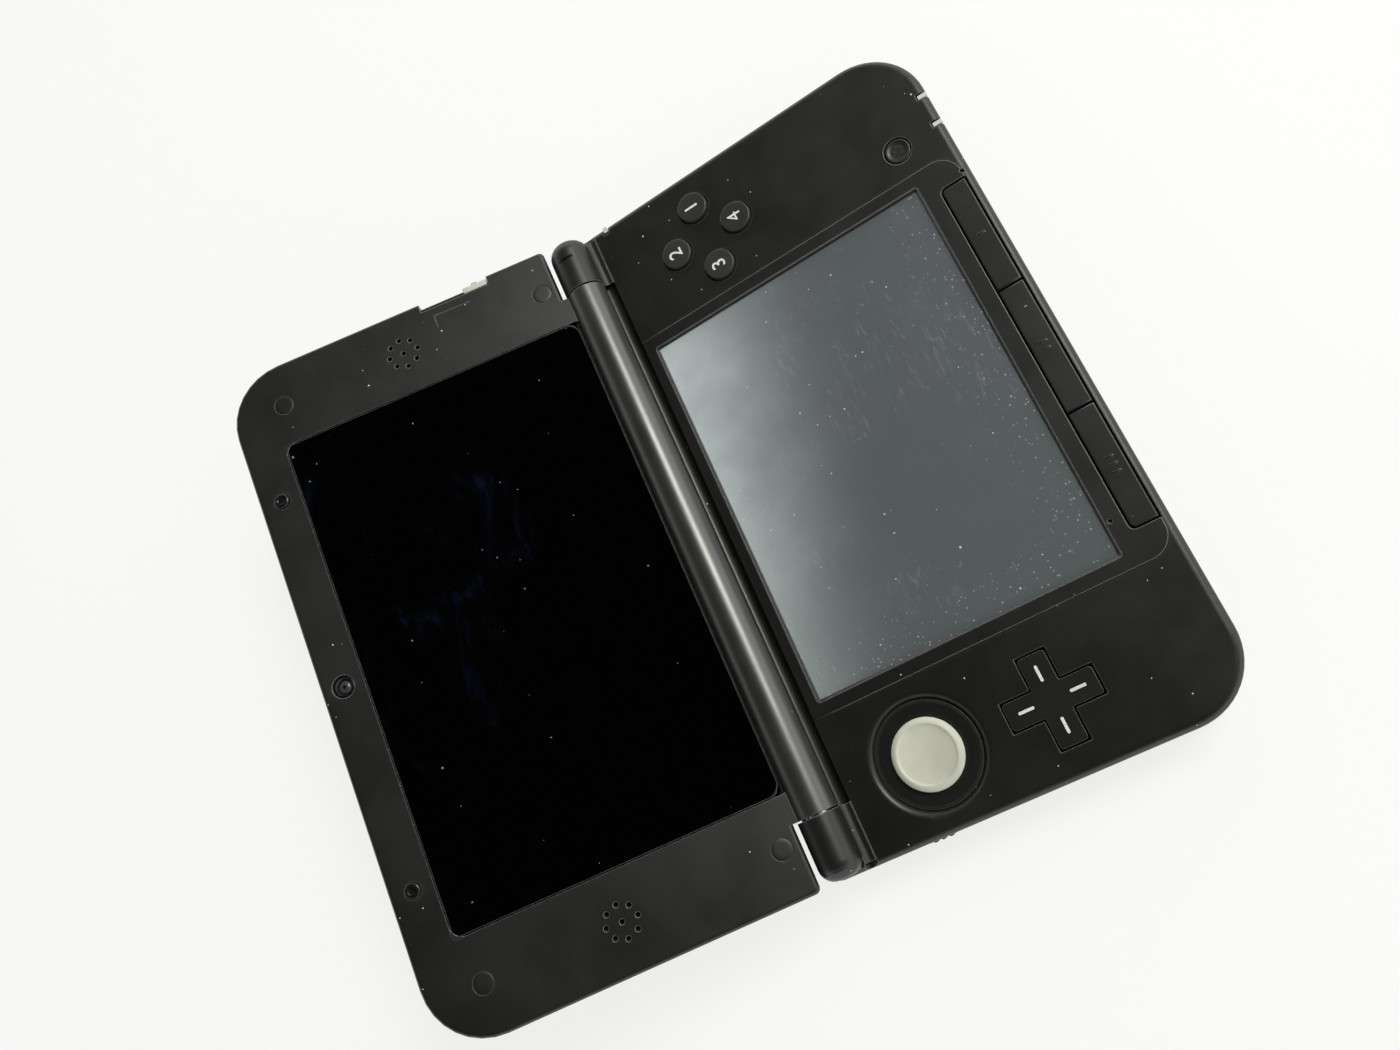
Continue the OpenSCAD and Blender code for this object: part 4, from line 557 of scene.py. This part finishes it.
def arc(name, x, y, z, inner, outer, thick, start, end, steps=24):
    """Flat curved bar: a short line spun about a centre, then made thick."""
    clear()
    bpy.ops.mesh.primitive_plane_add(size=1, location=(x + (inner + outer) / 2, y, z))
    bpy.context.object.scale = (outer - inner, 0.001, 1)
    piece = started(name)
    pick(piece, "EDGE", lambda middle, way: True)
    bpy.ops.mesh.delete(type="ONLY_FACE")
    bpy.ops.mesh.select_all(action="SELECT")
    bpy.ops.mesh.remove_doubles(threshold=0.01)
    bpy.ops.mesh.select_all(action="SELECT")
    bpy.ops.transform.rotate(value=-start, orient_axis="Z", center_override=(x, y, z))
    bpy.ops.mesh.spin(steps=steps, angle=end - start, center=(x, y, z), axis=(0, 0, 1))
    bpy.ops.mesh.select_all(action="SELECT")
    bpy.ops.mesh.remove_doubles(threshold=0.001)
    drawn_out(0, 0, thick)
    return piece


def cross(name, span, arm, low, high):
    """Plus-shaped block: a square post with four arms drawn out of its sides."""
    piece = block(name, about(0, arm / 2), about(0, arm / 2), (low, high))
    reach = (span - arm) / 2
    for way in ((1, 0), (-1, 0), (0, 1), (0, -1)):
        axis = 0 if way[0] else 1
        pick(piece, "FACE", lambda m, n: n[axis] * way[axis] > 0.9 and abs(m[1 - axis]) < 0.1)
        bpy.ops.mesh.extrude_region_move(
            TRANSFORM_OT_translate={"value": (way[0] * reach, way[1] * reach, 0)})
    return piece


def stroke(name, a, b, width, z, thick):
    """Thin raised line between two places."""
    a, b = Vector(a), Vector(b)
    way = b - a
    bar = block(name, (0, way.length), about(0, width / 2), (z, z + thick))
    bar.data.transform(Matrix.Translation((a.x, a.y, 0))
                       @ Matrix.Rotation(math.atan2(way.y, way.x), 4, "Z"))
    return bar


def lettered(name, text, size, x, y, z, thick, heavy):
    """A number as a thin raised mark, centred on its place."""
    clear()
    bpy.ops.object.text_add(location=(x, y, z))
    words = bpy.context.object.data
    words.body = text
    words.size = size
    words.align_x = "CENTER"
    words.align_y = "CENTER"
    words.extrude = thick / 2
    words.offset = heavy
    words.resolution_u = 6
    bpy.ops.object.convert(target="MESH")
    return started(name)


def joined(name, pieces):
    """Makes one piece of several."""
    if len(pieces) > 1:
        clear()
        for piece in pieces:
            piece.select_set(True)
        bpy.context.view_layer.objects.active = pieces[0]
        bpy.ops.object.join()
    return renamed(pieces[0], name)


def copied(piece, name, way):
    """Copy with its own mesh, moved by a matrix, in the drawing frame."""
    clear()
    other = piece.copy()
    other.data = piece.data.copy()
    renamed(other, name)
    bpy.context.scene.collection.objects.link(other)
    only(other)
    other.matrix_world = way
    applied()
    if way.determinant() < 0:
        bpy.ops.object.mode_set(mode="EDIT")
        outward()
        bpy.ops.object.mode_set(mode="OBJECT")
    return other


def finished(piece, place, body, finish, *stands_for, angle=40):
    """Sets a piece in its place, with its finish, its body and the nodes it stands for."""
    only(piece)
    piece.matrix_world = place
    applied()
    bpy.ops.object.shade_smooth_by_angle(angle=math.radians(angle))
    bpy.ops.object.modifier_add(type="WEIGHTED_NORMAL")
    piece.modifiers[-1].keep_sharp = True
    bpy.ops.object.modifier_apply(modifier=piece.modifiers[-1].name)
    piece.data.materials.clear()
    piece.data.materials.append(FINISHES[finish])
    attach(piece, body)
    if stands_for:
        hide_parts(*stands_for)


# Face buttons

BUTTON_RINGS = [(4.25, 9.9), (4.25, 10.6), (3.5, 10.6), (3.5, 12.95), (3.47, 13.06), (3.4, 13.14),
                (3.28, 13.185), (3.1, 13.195), (1.6, 13.2)]
button = turned("button", BUTTON_RINGS, 72)
for side, number, across, along, heavy in (("right", "1", 1, 0, 0.03), ("top", "2", 0, 1, 0.03),
                                           ("left", "3", -1, 0, 0.03), ("bottom", "4", 0, -1, 0.0)):
    x, y = FACE[0] + FACE_REACH * across, FACE[1] + FACE_REACH * along
    node, body = "button_" + side, "face_button_" + side
    cap = copied(button, node + "_cap", Matrix.Translation((x, y, 0)))
    finished(cap, IN_BASE, body, "button_dark", node)
    mark = lettered(node + "_number", number, 4.6, x, y, 13.195, 0.03, heavy)
    finished(mark, IN_BASE, body, "mark_grey")
bpy.data.objects.remove(button)


# Power button

POWER_RINGS = [(3.5, 9.9), (3.5, 10.6), (2.75, 10.6), (2.75, 11.95), (2.7, 12.07), (2.58, 12.13),
               (2.25, 12.14), (2.15, 12.08), (1.2, 12.07)]
POWER_SIGN_Z, POWER_SIGN_THICK = 12.06, 0.05
finished(turned("power_button_cap", POWER_RINGS, 64, *POWER), IN_BASE, "power_key", "cap_black",
         "power_button")
sign = arc("power_sign", *POWER, POWER_SIGN_Z, 0.85, 1.2, POWER_SIGN_THICK,
           math.radians(130), math.radians(410))
bar = block("stroke", about(POWER[0], 0.17), (POWER[1] + 0.25, POWER[1] + 1.35),
            (POWER_SIGN_Z, POWER_SIGN_Z + POWER_SIGN_THICK))
finished(joined("power_sign", [sign, bar]), IN_BASE, "power_key", "edge_grey")


# Direction pad

DPAD_SPAN, DPAD_ARM = 18.6, 5.6
DPAD_LOW, DPAD_TOP = 9.36, 12.7
AT_DPAD = Matrix.Translation((*DPAD, 0))
pad = cross("direction_pad_cap", DPAD_SPAN, DPAD_ARM, DPAD_LOW, DPAD_TOP)
rounded(pad, 0.7, 5,
        lambda m, w: upright(m, w) and max(abs(m.x), abs(m.y)) > DPAD_SPAN / 2 - 0.01)
rounded(pad, 0.35, 4, lambda m, w: upright(m, w) and max(abs(m.x), abs(m.y)) < 4)
rounded(pad, 0.42, 4, at_height(DPAD_TOP))
skirt = turned("skirt", [(9.3, DPAD_LOW), (9.3, 9.96)], 64)
pivot = turned("pivot", [(1.5, 9.112), (1.5, 9.5)], 32)
pad = joined("direction_pad_cap", [pad, skirt, pivot])
only(pad)
pad.matrix_world = AT_DPAD
applied()
finished(pad, IN_BASE, "direction_pad", "cap_black", "dpad")
bar = block("bar", (3.7, 7.0), about(0, 0.3), (12.6, 12.72))
rounded(bar, 0.26, 4, upright)
rounded(bar, 0.015, 2, at_height(12.72, 0.001))
bars = [copied(bar, "bar", AT_DPAD @ Matrix.Rotation(math.radians(a), 4, "Z"))
        for a in (0, 90, 180, 270)]
bpy.data.objects.remove(bar)
finished(joined("direction_pad_marks", bars), IN_BASE, "direction_pad", "mark_grey")


# Circle pad

CIRCLE_RINGS = [(2.4, 8.15), (2.4, 8.7), (1.6, 8.7), (1.6, 11.65), (7.0, 11.65), (7.3, 11.76),
                (7.4, 12.0), (7.38, 12.2), (7.28, 12.4), (7.1, 12.58), (6.85, 12.74), (6.6, 12.87),
                (6.4, 12.95), (6.25, 12.98), (6.1, 12.97), (5.98, 12.91), (5.85, 12.84),
                (5.6, 12.79), (4.6, 12.71), (2.6, 12.66), (0.8, 12.65)]
finished(turned("circle_pad_top", CIRCLE_RINGS, 96, *CIRCLE), IN_BASE, "circle_pad", "pad_grey",
         "circle_pad_cap")
# Two light rings beside the ring's gap: painted highlights on its edges
highlight_rings = [arc("lip", *CIRCLE, 11.34, inner, inner + 0.12, 0.05, 0, 2 * math.pi, 120)
        for inner in (10.3, 10.78)]
finished(joined("circle_pad_ring_highlights", highlight_rings), IN_BASE, "base", "edge_grey")


# Front keys

KEY_LOW, KEY_TOP = 9.9, 12.6
RIDGE_PITCH = 1.6


def front_key(node, x0, x1, outer, marks):
    """Long key with its retaining lip, plunger and raised ridges, round at its outer corner."""
    middle = (x0 + x1) / 2
    piece = block(node + "_cap", (x0, x1), KEY_Y, (KEY_LOW, KEY_TOP))
    if outer:
        rounded(piece, 1.0, 6,
                lambda m, w: upright(m, w) and m.y > -80 and m.x * outer > abs(middle))
    rounded(piece, 0.32, 3, at_height(KEY_TOP))
    lip = block("lip", (x0, x1), (-79.8, -78.6), (KEY_LOW, 10.6))
    rounded(lip, 0.15, 2, upright)
    plunger = turned("plunger", [(1.3, 9.4), (1.3, 9.95)], 32, middle, -82.225)
    finished(joined(node + "_cap", [piece, lip, plunger]), IN_BASE, node, "cap_black", node)
    ridge = block("ridge", about(middle - RIDGE_PITCH / 2 * (marks - 1), 0.3), (-83.3, -81.3),
                  (12.5, 12.68))
    rounded(ridge, 0.28, 4, upright)
    rounded(ridge, 0.06, 2, at_height(12.68))
    row = [ridge] + [copied(ridge, "ridge", Matrix.Translation((RIDGE_PITCH * step, 0, 0)))
                     for step in range(1, marks)]
    finished(joined(node + "_marks", row), IN_BASE, node, "cap_black")


front_key("start_key", 14.8, 40.1, 1, 1)
front_key("home_key", -14.4, 14.4, 0, 2)
front_key("select_key", -40.1, -14.8, -1, 3)


# Edges of the screens: light lines as painted highlights, a black step as painted shade

for name, grow, z, width, fall, finish in (
        ("screen_opening_highlight", 0.32, 12.64, 0.16, 0.02, "edge_light"),
        # A black step inside the opening: painted shade
        ("screen_opening_shade", 0.04, 12.5, 0.30, 0.25, "gloss_black"),
        ("screen_film_highlight", -0.27, 11.96, 0.13, 0.01, "edge_light")):
    corner = 0.55 + max(grow, 0)
    trim = border(name, SCREEN_X + grow, (SCREEN_Y[0] - grow, SCREEN_Y[1] + grow), z,
                  corner, corner, width, fall, 0.07)
    finished(trim, IN_BASE, "base", finish)
for name, grow, near, far in (("window_highlight", -0.06, 0.94, 2.84),
                              ("window_opening_highlight", 0.38, 1.2, 3.2)):
    trim = border(name, WINDOW_X + grow, (WINDOW_Y[0] - min(grow, 0), WINDOW_Y[1] + grow),
                  LID_FACE + 0.03, near, far, 0.15, 0.01, 0.05)
    finished(trim, IN_LID, "lid", "edge_grey")


# Knuckles

FLANK = [(-6.5, 12.16), (-6.32, 12.44), (-6.12, 12.5), (-5.85, 12.42), (-5.2, 12.44), (-4.6, 12.75),
         (-4.1, 13.4), (-3.6, 13.0), (-3.8, 12.16)]
SLOT_OUTER, SLOT_INNER = 4.72, 4.5       # slot mark's radii round the hinge axis
ridge = swept("right_knuckle_flank", FLANK, 64.35, 76.6)
rounded(ridge, 0.12, 2, lambda m, w: abs(w.x) < 0.2 and m.z > 12.3)
mirrored = copied(ridge, "left_knuckle_flank", MIRROR)
finished(ridge, IN_BASE, "base", "shell_black", angle=50)
finished(mirrored, IN_BASE, "base", "shell_black", angle=50)
turns = [math.radians(a) for a in range(-22, 27, 6)]
section = ([(-SLOT_OUTER * math.sin(a), HINGE_Z + SLOT_OUTER * math.cos(a)) for a in turns]
           + [(-SLOT_INNER * math.sin(a), HINGE_Z + SLOT_INNER * math.cos(a))
              for a in reversed(turns)])
finished(swept("right_knuckle_slot", section, 71.7, 72.4), IN_BASE, "base", "gloss_black")


# Caps over the lid's screws

CAP_RINGS = [(2.22, 1.05), (2.22, 1.62), (2.18, 1.67), (2.1, 1.69), (1.2, 1.69)]
caps = [turned("cap", CAP_RINGS, 48, x, y) for x in (-CAP_X, CAP_X) for y in CAP_Y]
finished(joined("screw_cap_set", caps), IN_LID, "lid", "shell_black", "screw_caps")


# Light pipes

PIPE_TOP = 12.17
pipes = []
for x in (61.8, 54.5):
    pipe = block("pipe", (x - 0.62, x + 0.28), (-86.72, -84.7), (9.1, PIPE_TOP))
    rounded(pipe, 0.12, 2, upright)
    rounded(pipe, 1.55, 8, lambda m, w: abs(w.x) > 0.99 and m.y < -86 and m.z > 12)
    pipes.append(pipe)
spot = block("spot", (76.6, 77.95), (-10.1, -9.1), (10.45, 12.15))
rounded(spot, 0.1, 2, upright)
rounded(spot, 1.2, 8, lambda m, w: abs(w.y) > 0.99 and m.x > 77.9 and m.z > 12)
finished(joined("light_pipe_set", pipes + [spot]), IN_BASE, "base", "light_clear", "light_pipes")


# Sliders and switches

RIB_PITCH, RIB_REACH = 1.7, 78.38


def side_knob(name, side, y, length, reach, plate, ribs):
    """Knob with its hidden plate in a side wall, and ribs across its face."""
    knob = block(name, (76.2, reach), about(y, length / 2), (7.2, 9.6))
    rounded(knob, 0.22, 4, lambda m, w: m.x > reach - 0.01)
    pieces = [knob, block("plate", (75.7, 76.35), about(y, plate / 2), (6.75, 10.05))]
    for step in ribs:
        rib = block("rib", (reach - 0.3, RIB_REACH), about(y + RIB_PITCH * step, 0.4), (7.35, 9.45))
        rounded(rib, 0.3, 4, lambda m, w: m.x > RIB_REACH - 0.08)
        pieces.append(rib)
    knob = joined(name, pieces)
    if side < 0:
        right_hand = knob
        knob = copied(right_hand, name, MIRROR)
        bpy.data.objects.remove(right_hand)
        renamed(knob, name)
    return knob


finished(side_knob("volume_slider_knob", -1, -20, 6, 78.1, 10, (-1, 0, 1)), IN_BASE,
         "volume_knob", "key_black", "volume_slider")
finished(side_knob("wireless_switch_knob", 1, -22, 4, 77.8, 7, ()), IN_BASE,
         "wireless_knob", "key_black", "wireless_switch")
knob = block("knob", (75.65, 77.2), (20.3, 26.3), (-1.1, 1.55))
rounded(knob, 0.2, 3, lambda m, w: m.x > 77.1 or m.z > 1.5)
ridge = block("ridge", (76.7, 77.85), (22.6, 24.0), (-0.9, 1.3))
rounded(ridge, 0.3, 4, lambda m, w: m.x > 77.8)
tab = block("tab", (75.0, 76.0), (20.8, 25.8), (-1.1, 0.1))
finished(joined("depth_slider_knob", [knob, ridge, tab]), IN_LID, "depth_knob", "slider_grey",
         "depth_slider")


# Shoulder buttons

SHOULDER_X, SHOULDER_Y, SHOULDER_Z = (55.0, 78.0), (-7.3, 6.2), (2.7, 8.9)
HEEL_RELIEF = 0.6                        # keeps the heel clear of the shell at full swing
shoulder = block("right_shoulder_cap", SHOULDER_X, SHOULDER_Y, SHOULDER_Z)
pick(shoulder, "VERT", lambda place: place.x < 55.1 and place.y < -7.2)
bpy.ops.transform.translate(value=(HEEL_RELIEF, 0, 0))
rounded(shoulder, 4.9, 12, lambda m, w: upright(m, w) and m.x > 77 and m.y > 6)
rounded(shoulder, 0.55, 4, lambda m, w: abs(w.z) < 0.1 and (m.y > 1 or m.x > 77))
pick(shoulder, "FACE", lambda m, n: n.y < -0.9 and m.y < -7.2)
bpy.ops.mesh.inset(thickness=1.15)
bpy.ops.transform.resize(value=(0.66, 1, 1), center_override=(76.4, -7.3, 5.8))
bpy.ops.mesh.extrude_region_move(TRANSFORM_OT_translate={"value": (0, 8.9, 0)})
mirrored = copied(shoulder, "left_shoulder_cap", MIRROR)
finished(shoulder, IN_BASE, "right_shoulder", "key_black", "right_shoulder_button")
finished(mirrored, IN_BASE, "left_shoulder", "key_black", "left_shoulder_button")


# Bumpers

BUMPER_RINGS = [(1.7, 0.55), (1.7, 1.95), (1.66, 2.12), (1.55, 2.27), (1.38, 2.36), (1.1, 2.4),
                (0.95, 2.38), (0.8, 2.3), (0.3, 2.28)]
pair = [turned("bumper", BUMPER_RINGS, 48, x, BUMPER_Y) for x in (-BUMPER_X, BUMPER_X)]
finished(joined("lid_bumper_pair", pair), IN_LID, "lid", "gloss_black", "lid_bumpers")


# Cameras in the lid

NOSE_RINGS = [(2.35, 0.2), (2.35, 1.0), (2.28, 1.15), (2.15, 1.2), (1.95, 1.2), (1.5, 0.75),
              (1.45, 0.55)]
LENS_RINGS = [(1.42, 0.5), (1.40, 0.62), (1.25, 0.78), (1.0, 0.9), (0.6, 0.99), (0.2, 1.02)]
PUPIL_RINGS = [(0.42, 0.98), (0.42, 1.03), (0.2, 1.035)]
PANE_RINGS = [(3.1, -6.05), (3.1, -6.62), (3.05, -6.71), (2.95, -6.75), (2.7, -6.75), (2.6, -6.7),
              (0.8, -6.7)]
EYE_RINGS = [(1.5, -6.6), (1.5, -6.74), (1.35, -6.76), (1.25, -6.72), (0.95, -6.73), (0.5, -6.77),
             (0.2, -6.78)]
housing = block("housing", (-3.6, 3.6), (78.55, 85.35), (-3.3, 0.25))
nose = turned("nose", NOSE_RINGS, 64, *INNER_EYE)
finished(joined("inner_camera_body", [housing, nose]), IN_LID, "lid", "camera_black",
         "inner_camera")
finished(turned("inner_camera_lens", LENS_RINGS, 48, *INNER_EYE), IN_LID, "lid", "lens_grey")
finished(turned("inner_camera_pupil", PUPIL_RINGS, 32, *INNER_EYE), IN_LID, "lid", "gloss_black")
discs = [turned("disc", PANE_RINGS, 64, x, OUTER_EYE_Y) for x in (-OUTER_EYE_X, OUTER_EYE_X)]
finished(joined("camera_window_pair", discs), IN_LID, "lid", "gloss_black", "camera_windows")
eyes = [turned("eye", EYE_RINGS, 48, x, OUTER_EYE_Y) for x in (-OUTER_EYE_X, OUTER_EYE_X)]
finished(joined("outer_camera_lenses", eyes), IN_LID, "lid", "lens_grey")


# Wedge mark beside the depth slider, its lit edges drawn as painted highlights

WEDGE_TIP, WEDGE_CORNER, WEDGE_END = (70.3, 34.7), (73.4, 34.7), (73.3, 25.4)
lines = [stroke("line", WEDGE_TIP, WEDGE_CORNER, 0.26, LID_FACE - 0.02, 0.04),
         stroke("line", WEDGE_CORNER, WEDGE_END, 0.16, LID_FACE - 0.02, 0.04)]
finished(joined("depth_wedge_highlights", lines), IN_LID, "lid", "edge_light")


# Lamp

LAMP_WAY = Vector((0.27, -0.58, 0.77)).normalized()
LAMP_DISTANCE = 1.0
lamp = bpy.data.lights.new("front_light", "AREA")
lamp.shape = "RECTANGLE"
lamp.size = 0.44
lamp.size_y = 0.26
lamp.energy = 6.4
lamp.color = (1.0, 0.99, 0.92)
holder = bpy.data.objects.new("front_light", lamp)
bpy.context.scene.collection.objects.link(holder)
aim = (-LAMP_WAY).to_track_quat("-Z", "Y").to_matrix().to_4x4()
holder.matrix_world = Matrix.Translation(LAMP_WAY * LAMP_DISTANCE) @ aim


# Surroundings, bright at the level and dim overhead

world = bpy.data.worlds.new("studio")
bpy.context.scene.world = world
world.use_nodes = True
tree = world.node_tree
_, along, height = axes(tree, add(tree, "ShaderNodeTexCoord").outputs["Generated"])
lean = sums(tree, "ADD", height, times(tree, along, 0.12))
fill(tree, tree.nodes["Background"], {"Color": (1, 1, 0.985, 1),
                                      "Strength": ranged(tree, lean, 0.10, 0.80, 1.85, 0.045)})


# White floor, partly giving light of its own to the camera and in reflections

clear()
bpy.ops.mesh.primitive_plane_add(size=6)
floor = bpy.context.object
floor.name = "floor"
tree, shader = new_finish("floor_white", 0.6, 0.0, 0.2)
grain = noise(tree, places(tree), 6, 3)
paper = mixed(tree, grain, (0.93, 0.93, 0.915, 1), (0.945, 0.945, 0.93, 1))
fill(tree, shader, {"Base Color": paper})
white = add(tree, "ShaderNodeEmission", {"Color": (0.985, 0.985, 0.975, 1), "Strength": 1.0})
path = add(tree, "ShaderNodeLightPath").outputs
seen = times(tree, most(tree, path["Is Camera Ray"], path["Is Glossy Ray"]), 0.80)
both = add(tree, "ShaderNodeMixShader", {0: seen, 1: shader.outputs[0], 2: white.outputs[0]})
fill(tree, tree.nodes["Material Output"], {"Surface": both.outputs[0]})
floor.data.materials.append(FINISHES["floor_white"])
